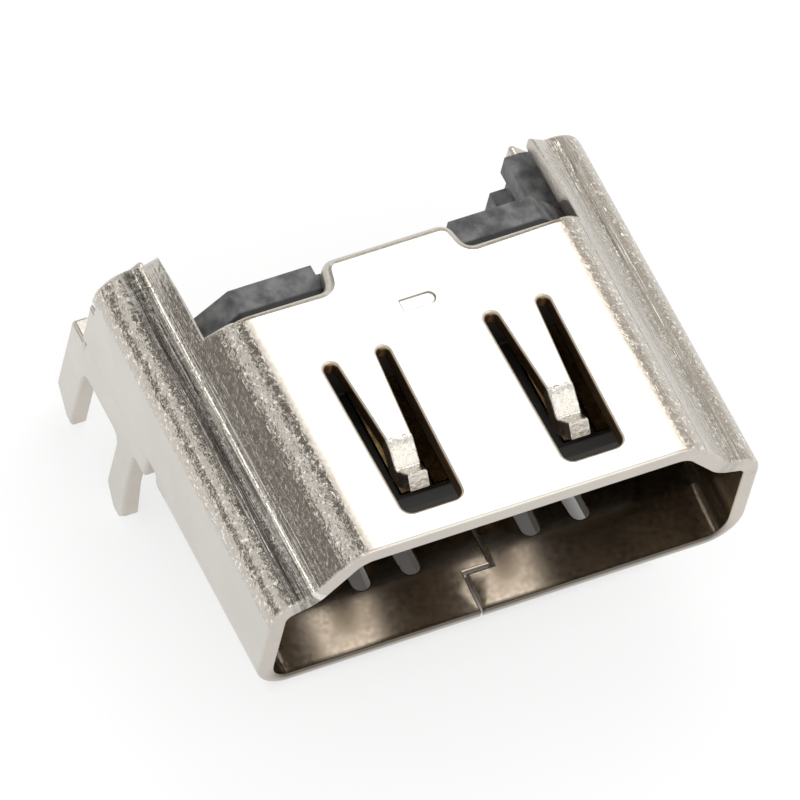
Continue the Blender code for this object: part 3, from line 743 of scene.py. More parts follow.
@dataclass
class SectionPath:
    """The right half of the shell's section as one line, from the roof's middle to the floor."""

    thickness: float
    folds: tuple[Fold, ...]
    pieces: list[tuple[float, float, Vector, float, float]] = field(default_factory=list)
    arcs: list[tuple[float, float, float]] = field(default_factory=list)

    def __post_init__(self) -> None:
        """Lay the flats and folds end to end along the sheet's middle."""
        half = self.thickness / 2
        heading = 0.0
        length = 0.0
        before = Vector((0.0, self.folds[0].z))
        reach_before = 0.0
        here = before + Vector((0.0, half))
        for index, fold in enumerate(self.folds):
            corner = Vector((fold.x, fold.z))
            following = (Vector((self.folds[index + 1].x, self.folds[index + 1].z))
                         if index + 1 < len(self.folds) else Vector((0.0, fold.z)))
            onward = following - corner
            turn = (math.atan2(onward.y, onward.x) - heading + math.pi) % (2 * math.pi) - math.pi
            reach = fold.inner_radius * math.tan(abs(turn) / 2)
            flat = (corner - before).length - reach_before - reach
            self.pieces.append((length, heading, here.copy(), 0.0, flat))
            here += Vector((math.cos(heading), math.sin(heading))) * flat
            length += flat
            radius = fold.inner_radius + (half if fold.convex else -half)
            sweep = radius * abs(turn)
            curvature = math.copysign(1 / radius, turn)
            self.pieces.append((length, heading, here.copy(), curvature, sweep))
            self.arcs.append((length, length + sweep, fold.stretch))
            side = Vector((-math.sin(heading), math.cos(heading))) * math.copysign(radius, turn)
            here = here + side - Matrix.Rotation(turn, 2) @ side
            heading += turn
            length += sweep
            before = corner
            reach_before = reach
        self.pieces.append((length, heading, here.copy(), 0.0, math.inf))

    def at(self, s: float) -> tuple[Vector, Vector]:
        """Find a place on the section.

        Args:
            s: Distance along the sheet's middle from the middle of the roof.

        Returns:
            The point (x, z) on the sheet's middle and the outward normal there.
        """
        start, heading, point, curvature, _ = next(
            piece for piece in reversed(self.pieces) if s >= piece[0] or piece is self.pieces[0])
        travel = s - start
        if curvature:
            turn = travel * curvature
            side = Vector((-math.sin(heading), math.cos(heading))) / curvature
            point = point + side - Matrix.Rotation(turn, 2) @ side
            heading += turn
        else:
            point = point + Vector((math.cos(heading), math.sin(heading))) * travel
        return point, Vector((-math.sin(heading), math.cos(heading)))

    def stretch_at(self, s: float, spread: float) -> float:
        """Say how stretched the sheet is at a place.

        Args:
            s: Distance along the section.
            spread: How far the stretch reaches past a fold.

        Returns:
            0 on a flat to 1 on a tight fold.
        """
        most = 0.0
        for start, end, amount in self.arcs:
            beyond = max(start - s, s - end, 0.0)
            most = max(most, amount * (1.0 - smooth(beyond, 0.0, spread)))
        return most


@dataclass(frozen=True)
class SpringShape:
    """A spring cut from the sheet by a U slot, with its bends, in millimetres."""

    x: float
    root: float
    slot_half: float
    closed_half: float
    leg: float
    closed_end: float
    corner: float
    crease: float
    crease_half: float
    tip_half: float
    first_turn: float
    second_turn: float
    ramp: float
    tip: float
    sheet: float
    near_roll: float
    far_roll: float
    inner_bend: float = 0.1
    bend_steps: int = 6
    end_fillet: float = 0.49

    @property
    def way(self) -> float:
        """Sign of Y from the root to the tip."""
        return 1.0 if self.crease > self.root else -1.0

    @property
    def outer_arc(self) -> float:
        """Length of the first bend on the outer skin."""
        return (self.inner_bend + self.sheet) * self.first_turn

    @property
    def inner_arc(self) -> float:
        """Length of the second bend on the outer skin."""
        return self.inner_bend * (self.first_turn + self.second_turn)

    @property
    def free_length(self) -> float:
        """Length of the bent stretch."""
        return self.outer_arc + self.ramp + self.inner_arc + self.tip

    def hole(self, middle: float, direction: float) -> list[Corner]:
        """Outline the U slot, clockwise, for a roof spring on X and a floor spring against it.

        Args:
            middle: Where the spring's middle lies along the pattern.
            direction: 1 where the pattern runs with X, -1 where it runs against it.

        Returns:
            The slot's corners.
        """
        end = self.crease + self.way * self.free_length
        foot = self.crease + self.way * (self.outer_arc + self.ramp)
        root_half = self.slot_half - self.leg
        round_end = self.leg * self.end_fillet
        near, far = self.near_roll, self.far_roll
        corners = [
            (-self.closed_half, self.closed_end, self.corner, far),
            (-self.slot_half, self.root, round_end, far),
            (-root_half, self.root, round_end, near),
            (-self.crease_half, self.crease, 0.0, near),
            (-self.crease_half, foot, 0.0, near),
            (-self.tip_half, end, 0.0, near),
            (self.tip_half, end, 0.0, near),
            (self.crease_half, foot, 0.0, near),
            (self.crease_half, self.crease, 0.0, near),
            (root_half, self.root, round_end, far),
            (self.slot_half, self.root, round_end, near),
            (self.closed_half, self.closed_end, self.corner, near),
        ]
        return [(middle + direction * u, *rest) for u, *rest in corners]

    def stations(self) -> list[float]:
        """List distances from the crease where the bent sheet needs an edge."""
        steps = range(self.bend_steps + 1)
        start = self.outer_arc + self.ramp
        return ([self.outer_arc * step / self.bend_steps for step in steps]
                + [start + self.inner_arc * step / self.bend_steps for step in steps])

    def bent(self, distance: float) -> tuple[float, float, float]:
        """Follow the outer skin from the crease.

        Args:
            distance: Length along the skin from the crease.

        Returns:
            Travel along Y, height over the flat skin, and slope.
        """
        radius = self.inner_bend + self.sheet
        angle = min(distance, self.outer_arc) / radius
        travel = radius * math.sin(angle)
        drop = radius * (1 - math.cos(angle))
        if distance <= self.outer_arc:
            return travel, -drop, -angle
        straight = min(distance - self.outer_arc, self.ramp)
        travel += straight * math.cos(self.first_turn)
        drop += straight * math.sin(self.first_turn)
        rest = distance - self.outer_arc - self.ramp
        if rest <= 0.0:
            return travel, -drop, -self.first_turn
        slope = -self.first_turn + min(rest, self.inner_arc) / self.inner_bend
        travel += self.inner_bend * (math.sin(slope) + math.sin(self.first_turn))
        drop -= self.inner_bend * (math.cos(self.first_turn) - math.cos(slope))
        rest -= self.inner_arc
        if rest > 0.0:
            travel += rest * math.cos(slope)
            drop -= rest * math.sin(slope)
        return travel, -drop, slope


@dataclass(frozen=True)
class PressedMark:
    """The locating mark: a shallow pocket in the roof with one rounded end, in millimetres."""

    left: float = -0.57
    right: float = 0.49
    front: float = 6.78
    rear: float = 7.18
    square_fillet: float = 0.05
    round_fillet: float = 0.196
    depth: float = 0.06
    # Strength of the painted shade on the pocket's walls.
    painted_shade: float = 0.2
    profile: tuple[tuple[float, float], ...] = (
        (-0.04, 0.0), (-0.005, 0.0), (0.01, 0.1), (0.02, 0.45), (0.032, 0.85), (0.045, 1.0),
        (0.07, 1.0),
    )

    def press(self, bm: BMesh, skin: float, fillet_steps: int) -> Ring:
        """Press the mark into the flat sheet.

        Args:
            bm: The flat mesh.
            skin: Z of the outer skin.
            fillet_steps: Segments in each corner fillet.

        Returns:
            The ring round the pocket's brim, on the outer skin.
        """
        square, rounded = self.square_fillet, self.round_fillet
        corners = [(self.left, self.front, square), (self.right, self.front, rounded),
                   (self.right, self.rear, rounded), (self.left, self.rear, square)]
        painted_shade, = layers(bm, "painted_shade")
        rings = []
        for inset, depth in self.profile:
            outline = offset_ring(corners, [inset] * len(corners), fillet_steps)
            ring = [bm.verts.new((point.x, point.y, skin - depth * self.depth))
                    for point, _, _ in outline]
            for vert in ring:
                # Painted shade: the pocket's walls are darkened.
                vert[painted_shade] = self.painted_shade if 0.0 < depth < 1.0 else 0.0
            rings.append(ring)
        bridge(bm, rings)
        bm.faces.new(rings[-1])
        return rings[0]


@dataclass(frozen=True)
class LockTab:
    """The tab folded in behind an arm of the insulator, outlined in X and Z, in millimetres."""

    foot: float = 0.15
    shank: float = 6.0
    side: float = 6.75
    neck: float = 2.15
    top: float = 3.1
    head: float = 5.8
    reach: float = 5.65
    under: float = 2.5
    edge_fillet: float = 0.08
    neck_fillet: float = 0.17
    root_fillet: float = 0.2

    def add(self, bm: BMesh, side: Side, roll: EdgeRoll, root: tuple[float, float], middle: float,
            fillet_steps: int) -> None:
        """Add the tab on one side.

        Args:
            bm: The folded mesh.
            side: Which side.
            roll: Profile of its edges.
            root: X of the wall it is folded from and Z of its upper end there.
            middle: Y of the middle of its sheet.
            fillet_steps: Segments in each corner fillet.
        """
        wall, shelf = root
        edge, neck = self.edge_fillet, self.neck_fillet
        corners = [
            (wall, self.foot, 0.0), (wall, shelf, 0.0), (self.side, shelf, self.root_fillet),
            (self.side, self.neck, neck), (self.head, self.top, edge), (self.reach, self.top, edge),
            (self.reach, self.under, edge), (self.shank, self.under, edge),
            (self.shank, self.foot, neck),
        ]
        before = set(bm.verts)
        sheet_body(bm, [corners], roll, fillet_steps, [])
        for vert in [vert for vert in bm.verts if vert not in before]:
            u, v, height = vert.co
            vert.co = Vector((side.value * u, middle + height, v))


@dataclass(frozen=True)
class ShellSheet:
    """The folded shell. Lengths along Y are counted from the mouth's edge, in millimetres."""

    sheet: float = 0.5
    mouth_half: float = 7.0
    mouth_top: float = 5.05
    crown: Fold = Fold(4.93, 5.05, 0.7, True, 1.0)
    valley: Fold = Fold(6.1, 3.7, 1.2, False, 0.75)
    shoulder: Fold = Fold(7.0, 3.42, 0.27, True, 1.0)
    heel: Fold = Fold(7.0, 0.5, 0.6, True, 0.2)
    mark: PressedMark = PressedMark()
    lock: LockTab = LockTab()
    roll_outer: float = 0.11
    roll_inner: float = 0.06
    roof_roll: float = 0.25
    rail_roll: float = 0.14
    fillet_steps: int = 7
    fold_steps: int = 14
    sharp_over: float = math.radians(9)
    stretch_spread: float = 0.14
    slope_stretch: float = 0.4
    grain_from: float = 0.08
    grain_full: float = 0.42
    spring_grain: float = 0.7
    drawn_from: float = 6.45
    drawn_to: float = 7.45
    drawn_fade: float = 0.1
    wall_rear: float = 11.5
    roof_rear: float = 8.2
    floor_rear: float = 6.6
    tab_rear: float = 9.1
    tab_half: float = 1.95
    tab_root: float = 2.15
    cut_shift: float = -0.08
    lean_reach: float = 0.35
    rail_half: float = 5.70
    rail_start: float = 8.35
    rail_slant: float = 0.2
    rail_relax_from: float = 9.6
    rail_relax: float = 0.2
    rail_cuts: int = 4
    valley_rise: float = 0.17
    slit_top: float = 1.12
    slit_rear: float = 7.2
    seam_gap: float = 0.08
    seam_front_x: float = -0.5
    seam_rear_x: float = 0.33
    seam_step: float = 1.23
    notch: float = 0.24
    notch_z: float = 2.8
    shelf_z: float = 1.05
    rear_edge: float = 12.14
    slot_shift: float = -0.02
    heel_cut: float = 0.45
    slit_fillet: float = 0.1
    plate_foot: float = 0.33
    front_leg: float = 7.85
    front_leg_rear: float = 8.8
    front_leg_lean: float = 0.19
    lean_from: float = 1.2
    lean_to: float = 2.42
    front_tip: float = 2.7
    front_tip_width: float = 0.37
    front_tip_slope: float = 2.16
    rear_leg: float = 11.0
    rear_tip: float = 2.62
    rear_tip_width: float = 0.32
    rear_tip_slope: float = 2.0
    leg_fillet: float = 0.33
    tip_fillet: float = 0.14
    plate_fillet: float = 0.16
    rear_fillet: float = 0.17
    shelf_fillet: float = 0.12
    roof_fillet: float = 0.45
    tab_fillet: float = 0.3
    # Where the cut walls of the roof slots get painted shade.
    slot_shade_within: float = 3.6
    slot_shade_from: float = 0.7
    slot_shade_to: float = 6.1
    ridge_s: float = 6.635
    ridge_half: float = 0.065
    ridge_height: float = 0.03
    # Bands across the valley: over 0 darkens as die streaks with painted shade, under 0 is a painted
    # highlight line; the right side keeps only the right_line share of the dark.
    right_line: float = 0.3
    lines: tuple[tuple[float, float], ...] = (
        (6.51, 0.0), (6.57, -0.8), (6.70, -0.8), (6.76, 0.9), (6.94, 0.9), (7.0, 0.1), (7.06, 0.9),
        (7.24, 0.9), (7.29, 0.1), (7.42, 0.4), (7.5, 0.0),
    )
    lip_length: float = 1.6
    lip_depth: float = 0.2
    # Strength of the painted shade on the floor's lip at the mouth.
    lip_shade: float = 0.85
    lip_cuts: int = 6
    lip_touch: float = 0.001

    @property
    def plates_from(self) -> float:
        """Y past which the side walls run straight down into the legs."""
        return (self.floor_rear + self.slit_rear) / 2

    def path(self) -> SectionPath:
        """Lay out the section."""
        return SectionPath(self.sheet, (self.crown, self.valley, self.shoulder, self.heel))

    def slope_place(self, path: SectionPath, outer_x: float) -> float:
        """Find where the roof's slope passes an X on its outer skin.

        Args:
            path: The section.
            outer_x: Distance from the middle plane.

        Returns:
            The place along the section.
        """
        start = path.arcs[Bend.CROWN][1]
        point, normal = path.at(start)
        along = Vector((normal.y, -normal.x))
        return start + (outer_x - point.x - normal.x * self.sheet / 2) / along.x

    def side_corners(self, path: SectionPath, side: Side) -> list[Corner]:
        """Outline one half of the pattern from the seam at the mouth round to the tab.

        Args:
            path: The section.
            side: Which half.

        Returns:
            Corners as (place along the section, Y, fillet, roll), as if it were the right half.
        """
        sign = side.value
        heel_start, heel_end, _ = path.arcs[Bend.HEEL]
        shoulder_end = path.arcs[Bend.SHOULDER][1]
        gap = self.seam_gap / 2
        seam_front = -sign * self.seam_front_x - gap
        seam_rear = -sign * self.seam_rear_x - gap
        step = self.seam_step - sign * gap

        def floor(x: float) -> float:
            """Find the place of a point of the floor."""
            return heel_end + (self.mouth_half - self.heel.inner_radius) + x

        def wall(z: float) -> float:
            """Find the place of a point of the side wall or a leg."""
            return heel_start + (self.heel.z + self.heel.inner_radius) - z

        shift = sign * self.cut_shift
        rail = self.slope_place(path, self.rail_half + shift)
        top = wall(self.notch_z + self.notch / 2)
        bottom = wall(self.notch_z - self.notch / 2)
        inset = self.wall_rear - self.notch
        corners = [
            (floor(seam_front), 0.0, 0.0),
            (floor(seam_front), step, 0.0),
            (floor(seam_rear), step, 0.0),
            (floor(seam_rear), self.floor_rear, 0.0),
            (heel_start + (heel_end - heel_start) * self.heel_cut, self.floor_rear, 0.0),
            (wall(self.slit_top), self.floor_rear + self.slit_fillet, self.slit_fillet),
            (wall(self.slit_top), self.slit_rear, 0.0),
            (wall(self.plate_foot), self.slit_rear, 0.0),
            (wall(self.plate_foot), self.front_leg, self.plate_fillet),
            (wall(-self.lean_from), self.front_leg, 0.0),
            (wall(-self.lean_to), self.front_leg - self.front_leg_lean, 0.0),
            (wall(-self.front_tip), self.front_leg, 0.0),
            (wall(-self.front_tip), self.front_leg + self.front_tip_width, self.tip_fillet),
            (wall(-self.front_tip_slope), self.front_leg_rear, self.leg_fillet),
            (wall(0.0), self.front_leg_rear, self.leg_fillet),
            (wall(0.0), self.rear_leg, self.leg_fillet),
            (wall(-self.rear_tip), self.rear_leg, 0.0),
            (wall(-self.rear_tip), self.rear_leg + self.rear_tip_width, self.tip_fillet),
            (wall(-self.rear_tip_slope), self.rear_edge, self.rear_fillet),
            (wall(self.shelf_z), self.rear_edge, self.shelf_fillet),
            (wall(self.shelf_z), self.wall_rear - self.notch / 2, 0.0),
            (wall(self.shelf_z - self.notch / 2), inset, 0.0),
            (wall(self.slit_top), inset, 0.0),
            (wall(self.slit_top), self.wall_rear, 0.0),
            (bottom, self.wall_rear, 0.0),
            (bottom, inset, 0.0),
            (top, inset, 0.0),
            (top, self.wall_rear, 0.0),
            (shoulder_end, self.wall_rear, 0.0, self.roof_roll),
            (rail, self.wall_rear - self.rail_slant, 0.0, self.rail_roll),
            (rail, self.rail_start, 0.0, self.rail_roll),
            (self.crown.x + shift, self.roof_rear, self.roof_fillet, self.roof_roll),
            (self.tab_root + shift, self.roof_rear, self.tab_fillet, self.roof_roll),
            (self.tab_half + shift, self.tab_rear, self.roof_fillet, self.roof_roll),
        ]
        return [corner if len(corner) > 3 else (*corner, self.roll_outer) for corner in corners]

    def springs(self) -> tuple[SpringShape, SpringShape]:
        """Shape the roof spring and the floor spring, each for the right side."""
        roof = SpringShape(
            x=2.46, root=5.93, slot_half=0.99, closed_half=0.89, leg=0.38, closed_end=0.8,
            corner=0.3, crease=3.2, crease_half=0.4, tip_half=0.29, first_turn=math.radians(34),
            second_turn=math.radians(42), ramp=0.5, tip=0.5, sheet=self.sheet, near_roll=0.07,
            far_roll=0.12)
        floor = SpringShape(
            x=2.61, root=1.68, slot_half=1.02, closed_half=1.02, leg=0.5, closed_end=5.9,
            corner=0.17, crease=3.2, crease_half=0.42, tip_half=0.32, first_turn=math.radians(20),
            second_turn=math.radians(16), ramp=0.7, tip=0.8, sheet=self.sheet,
            near_roll=self.roll_outer, far_roll=self.roll_outer)
        return roof, floor

    def pattern(self, path: SectionPath) -> list[list[Corner]]:
        """Outline the flat pattern.

        Args:
            path: The section.

        Returns:
            The outline counter-clockwise, then the four slots clockwise.
        """
        right = self.side_corners(path, Side.RIGHT)
        mirrored = self.side_corners(path, Side.LEFT)
        rolls = [corner[3] for corner in mirrored[:-1]]
        rolls.insert(0, self.roll_outer)
        left = [(-s, y, radius, roll)
                for (s, y, radius, _), roll in zip(mirrored[::-1], rolls[::-1])]
        roof, floor = self.springs()
        flat_end = path.arcs[Bend.HEEL][1] + self.mouth_half - self.heel.inner_radius
        holes = []
        for side in Side:
            sign = side.value
            holes.append(roof.hole(sign * roof.x + self.slot_shift, 1.0))
            holes.append(floor.hole(sign * (flat_end - floor.x), -1.0))
        return [right + left, *holes]

    def lean_roof_cut(self, bm: BMesh, path: SectionPath) -> None:
        """Lean the edges stamped behind the roof so that they end up upright after folding.

        Args:
            bm: The flat mesh.
            path: The section.
        """
        for vert in bm.verts:
            place = abs(vert.co.x)
            if vert.co.y > self.roof_rear - self.lean_reach and place < path.arcs[Bend.VALLEY][0]:
                _, normal = path.at(place)
                depth = self.sheet / 2 - vert.co.z
                vert.co.x += math.copysign(depth * normal.x / normal.y, vert.co.x)

    def folded(self, path: SectionPath, s: float, y: float, height: float) -> Vector:
        """Carry a point of the pattern to its place in the folded shell.

        Args:
            path: The section.
            s: Place along the section, negative to the left.
            y: Distance from the mouth.
            height: Height over the sheet's middle, outwards.

        Returns:
            The place in millimetres, still counted from the mouth.
        """
        distance = abs(s)
        heel_start = path.arcs[Bend.HEEL][0]
        if y > self.plates_from and distance > heel_start:
            point, normal = path.at(heel_start)
            point = point - Vector((0.0, distance - heel_start))
        else:
            point, normal = path.at(distance)
        place = point + normal * height
        across = place.x if s > 0.0 else -place.x
        return Vector((across, y, place.y + self.rail_sag(path, distance, y)))

    def rail_sag(self, path: SectionPath, distance: float, y: float) -> float:
        """Say how the free end of a rail has flattened.

        Args:
            path: The section.
            distance: Place along the section.
            y: Distance from the mouth.

        Returns:
            The rise along Z.
        """
        free = smooth(y, self.rail_relax_from, self.wall_rear)
        edge = self.slope_place(path, self.rail_half)
        middle = path.arcs[Bend.VALLEY][0]
        end = (path.arcs[Bend.SHOULDER][0] + path.arcs[Bend.SHOULDER][1]) / 2
        if distance >= end or not free:
            return 0.0
        if distance < middle:
            return -free * self.rail_relax * (middle - distance) / (middle - edge)
        return free * self.valley_rise * math.sin(math.pi * (distance - middle) / (end - middle))

    def bend_spring(self, bm: BMesh, spring: SpringShape, x: float, skin: float,
                    outward: float) -> None:
        """Bend one tongue in the folded shell.

        Args:
            bm: The folded mesh.
            spring: Its shape.
            x: Its middle.
            skin: Z of the outer skin there.
            outward: Sign of Z out of the shell.
        """
        grain, slot_shade = layers(bm, "grain", "slot_shade")
        spare = 0.05
        low, high = sorted((skin - outward * (self.sheet + spare), skin + outward * spare))
        half = spring.crease_half + spare

        def free(vert: BMVert) -> bool:
            """Tell whether a vertex lies on the free tongue."""
            beyond = (vert.co.y - spring.crease) * spring.way
            return (abs(vert.co.x - x) < half and low < vert.co.z < high
                    and CUT_TOLERANCE < beyond < spring.free_length + spare)

        for mark in spring.stations():
            faces = [face for face in bm.faces if any(free(vert) for vert in face.verts)]
            cut_at(bm, 1, spring.crease + spring.way * mark, faces)
        for vert in [vert for vert in bm.verts if free(vert)]:
            depth = (skin - vert.co.z) * outward
            travel, rise, slope = spring.bent((vert.co.y - spring.crease) * spring.way)
            vert.co.y = spring.crease + spring.way * (travel + depth * math.sin(slope))
            vert.co.z = skin + outward * (rise - depth * math.cos(slope))
            vert[grain] = self.spring_grain
            # The tongue's cut ends get no painted slot shade.
            vert[slot_shade] = 0.0

    def streak_and_sheen_at(self, s: float) -> float:
        """Say how dark (over 0) or bright (under 0) the valley is painted at a place: the dark is
        die streaks with painted shade, the bright a painted highlight line; the right side keeps
        only a share of the dark.

        Args:
            s: Place along the section, negative to the left.

        Returns:
            The line's strength.
        """
        place = abs(s)
        for (start, first), (end, second) in zip(self.lines, self.lines[1:]):
            if start <= place <= end:
                strength = first + (second - first) * (place - start) / (end - start)
                return max(strength, 0.0) * self.right_line if s > 0.0 else strength
        return 0.0

    def lip(self, path: SectionPath, place: float, y: float, height: float) -> float:
        """Round the floor's inner skin down towards the mouth.

        Args:
            path: The section.
            place: Distance along the section.
            y: Distance from the mouth.
            height: Height over the sheet's middle.

        Returns:
            The new height.
        """
        start, end, _ = path.arcs[Bend.HEEL]
        share = smooth(place, start, end) * self.lip_depth
        back = min(y / self.lip_length, 1.0)
        drop = share * (1.0 - back)
        half = self.sheet / 2
        return half - (half - height) * (1.0 - drop / self.sheet)

    def fold_marks(self, path: SectionPath) -> list[float]:
        """List the places along the section where the pattern needs an edge."""
        marks = [self.ridge_s + self.ridge_half * step / 2 for step in range(-2, 3)]
        marks += [place for place, _ in self.lines]
        for start, end, _ in path.arcs:
            marks += [start + (end - start) * step / self.fold_steps
                      for step in range(self.fold_steps + 1)]
            marks += [start - self.stretch_spread, start - self.stretch_spread / 2,
                      end + self.stretch_spread / 2, end + self.stretch_spread]
        return marks

    def add_edges(self, bm: BMesh, path: SectionPath) -> None:
        """Give the flat sheet the edges that its folds, its rails and its lip need.

        Args:
            bm: The flat mesh.
            path: The section.
        """
        for place in self.fold_marks(path):
            cut_at(bm, 0, place)
            cut_at(bm, 0, -place)
        shoulder_end = path.arcs[Bend.SHOULDER][1]
        heel_start = path.arcs[Bend.HEEL][0]
        span = self.wall_rear - self.rail_relax_from
        for step in range(self.rail_cuts):
            faces = [face for face in bm.faces
                     if abs(face.calc_center_median().x) < shoulder_end]
            cut_at(bm, 1, self.rail_relax_from + span * step / self.rail_cuts, faces)
        for step in range(1, self.lip_cuts + 1):
            faces = [face for face in bm.faces
                     if abs(face.calc_center_median().x) > heel_start
                     and face.calc_center_median().z < 0.0]
            cut_at(bm, 1, self.lip_length * (step / self.lip_cuts) ** 2, faces)

    def fold(self, bm: BMesh, path: SectionPath) -> None:
        """Fold the flat sheet, and note on it where it is stretched, drawn or cut, and where shade
        and a highlight line are painted on it.

        Args:
            bm: The flat mesh.
            path: The section.
        """
        crown, slope_start, _ = path.arcs[Bend.CROWN]
        slope_end = path.arcs[Bend.SHOULDER][0]
        heel_start, heel_end, _ = path.arcs[Bend.HEEL]
        cut, stretch, drawn, line, grain, painted_shade, slot_shade = layers(
            bm, "cut", "stretch", "drawn", "line", "grain", "painted_shade", "slot_shade")
        for vert in bm.verts:
            s, y, height = vert.co
            place = abs(s)
            plate = y > self.plates_from and place > heel_start
            vert[stretch] = 0.0 if plate else path.stretch_at(place, self.stretch_spread)
            if slope_start < place < slope_end:
                vert[stretch] = max(vert[stretch], self.slope_stretch)
            vert[line] = self.streak_and_sheen_at(s)
            # Painted shade on the cut walls of the roof slots.
            if place < self.slot_shade_within and self.slot_shade_from < y < self.slot_shade_to:
                vert[slot_shade] = vert[cut]
            grainy = smooth(place, crown + self.grain_from, crown + self.grain_full)
            vert[grain] = vert[stretch] * grainy
            vert[drawn] = smooth(place, self.drawn_from - self.drawn_fade, self.drawn_from) * (
                1.0 - smooth(place, self.drawn_to - self.drawn_fade, self.drawn_to))
            if height > self.sheet / 2 - SAME_PLACE and s < 0.0:
                off = min(abs(place - self.ridge_s) / self.ridge_half, 1.0)
                height += self.ridge_height * (1.0 - off) ** 2 * (1.0 + 2.0 * off)
            # Painted shade: the floor's inner edge at the mouth is painted near black.
            if max(y, height + self.sheet / 2) < self.roll_inner + self.lip_touch:
                vert[painted_shade] = self.lip_shade * smooth(place, heel_start, heel_end)
            vert.co = self.folded(path, s, y, self.lip(path, place, y, height))

    def build(self, origin_y: float) -> Mesh:
        """Make the folded shell's mesh.

        Args:
            origin_y: Y of the mouth's edge in the row frame, in metres.

        Returns:
            The mesh in metres in the row frame.
        """
        path = self.path()
        roll = EdgeRoll(self.sheet, self.roll_outer, self.roll_inner)
        bm = bmesh.new()
        for layer in ("cut", "inner", "stretch", "drawn", "line", "grain", "painted_shade", "slot_shade"):
            bm.verts.layers.float.new(layer)
        brim = self.mark.press(bm, self.sheet / 2, self.fillet_steps)
        sheet_body(bm, self.pattern(path), roll, self.fillet_steps, [brim])
        self.lean_roof_cut(bm, path)
        self.add_edges(bm, path)
        self.fold(bm, path)
        roof, floor = self.springs()
        for side in Side:
            sign = side.value
            self.bend_spring(bm, roof, sign * roof.x + self.slot_shift,
                             self.mouth_top + self.sheet, 1.0)
            self.bend_spring(bm, floor, sign * floor.x, 0.0, -1.0)
            self.lock.add(bm, side, roll, (self.mouth_half, self.shelf_z),
                          self.rear_edge - self.sheet / 2, self.fillet_steps)
        bmesh.ops.remove_doubles(bm, verts=bm.verts, dist=SAME_PLACE)
        bmesh.ops.recalc_face_normals(bm, faces=bm.faces)
        bm.transform(Matrix.Translation((0.0, origin_y, 0.0)) @ Matrix.Scale(MM, 4))
        mesh = bpy.data.meshes.new("shell sheet")
        bm.to_mesh(mesh)
        bm.free()
        return mesh

    def dress(self, material: Material) -> Object:
        """Put the finished shell in place of the plain solid.

        Args:
            material: Its finish.

        Returns:
            The shell.
        """
        low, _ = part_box("shell")
        piece = dressed_object("shell_sheet", self.build(low[1]), material)
        piece.data.set_sharp_from_angle(angle=self.sharp_over)
        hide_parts("shell")
        LOG.info("%s: %d faces", piece.name, len(piece.data.polygons))
        return piece


# The insulator, its comb and the contacts.


@dataclass(frozen=True)
class Mouldings:
    """The moulded pieces, with their edges slightly rounded."""

    edge: float = 0.035 * MM
    edge_steps: int = 2
    weld: float = 1e-7
    flat_under: float = math.radians(0.5)
    sharp_over: float = math.radians(25)
    nodes: tuple[str, ...] = ("housing", "tail_spacer")

    def dress(self, material: Material) -> None:
        """Show rounded copies of the moulded solids.

        Args:
            material: Their finish.
        """
        for name in self.nodes:
            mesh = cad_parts[name].data.copy()
            bm = bmesh.new()
            bm.from_mesh(mesh)
            bmesh.ops.remove_doubles(bm, verts=bm.verts, dist=self.weld)
            bmesh.ops.dissolve_limit(bm, angle_limit=self.flat_under, verts=bm.verts,
                                     edges=bm.edges)
            bm.to_mesh(mesh)
            bm.free()
            piece = dressed_object(f"{name}_moulding", mesh, material)
            bevel = piece.modifiers.new("edges", "BEVEL")
            bevel.width = self.edge
            bevel.segments = self.edge_steps
            bevel.limit_method = "ANGLE"
            bevel.angle_limit = self.sharp_over
            bevel.use_clamp_overlap = False
            bevel.harden_normals = True
            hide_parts(name)
            LOG.info("%s: %d faces", piece.name, len(mesh.polygons))


def dress_contacts(material: Material) -> None:
    """Gild every contact.

    Args:
        material: Their finish.
    """
    for name, node in sorted(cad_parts.items()):
        if not name.startswith("contact_"):
            continue
        node.data.materials.clear()
        node.data.materials.append(material)
        LOG.info("%s: gilt", name)


# The studio.


@dataclass(frozen=True)
class Card:
    """A card that only glossy rays see, which the part sees over half angles in degrees."""

    name: str
    direction: Corner
    half_width: float
    half_height: float
    tone: Colour
    distance: float = 0.9

    def stand(self) -> None:
        """Put the card in the scene, facing the part."""
        material = bpy.data.materials.new(self.name)
        board = emptied(material)
        glow = board.add("ShaderNodeEmission", {"Color": self.tone})
        board.add("ShaderNodeOutputMaterial", {"Surface": glow.outputs[0]})
        wide, tall = (self.distance * math.tan(math.radians(half))
                      for half in (self.half_width, self.half_height))
        place = facing(self.direction, self.distance)
        card = staged_sheet(self.name, wide, tall, 0.0, material, place)
        card.visible_camera = False
        card.visible_diffuse = False
        card.visible_shadow = False


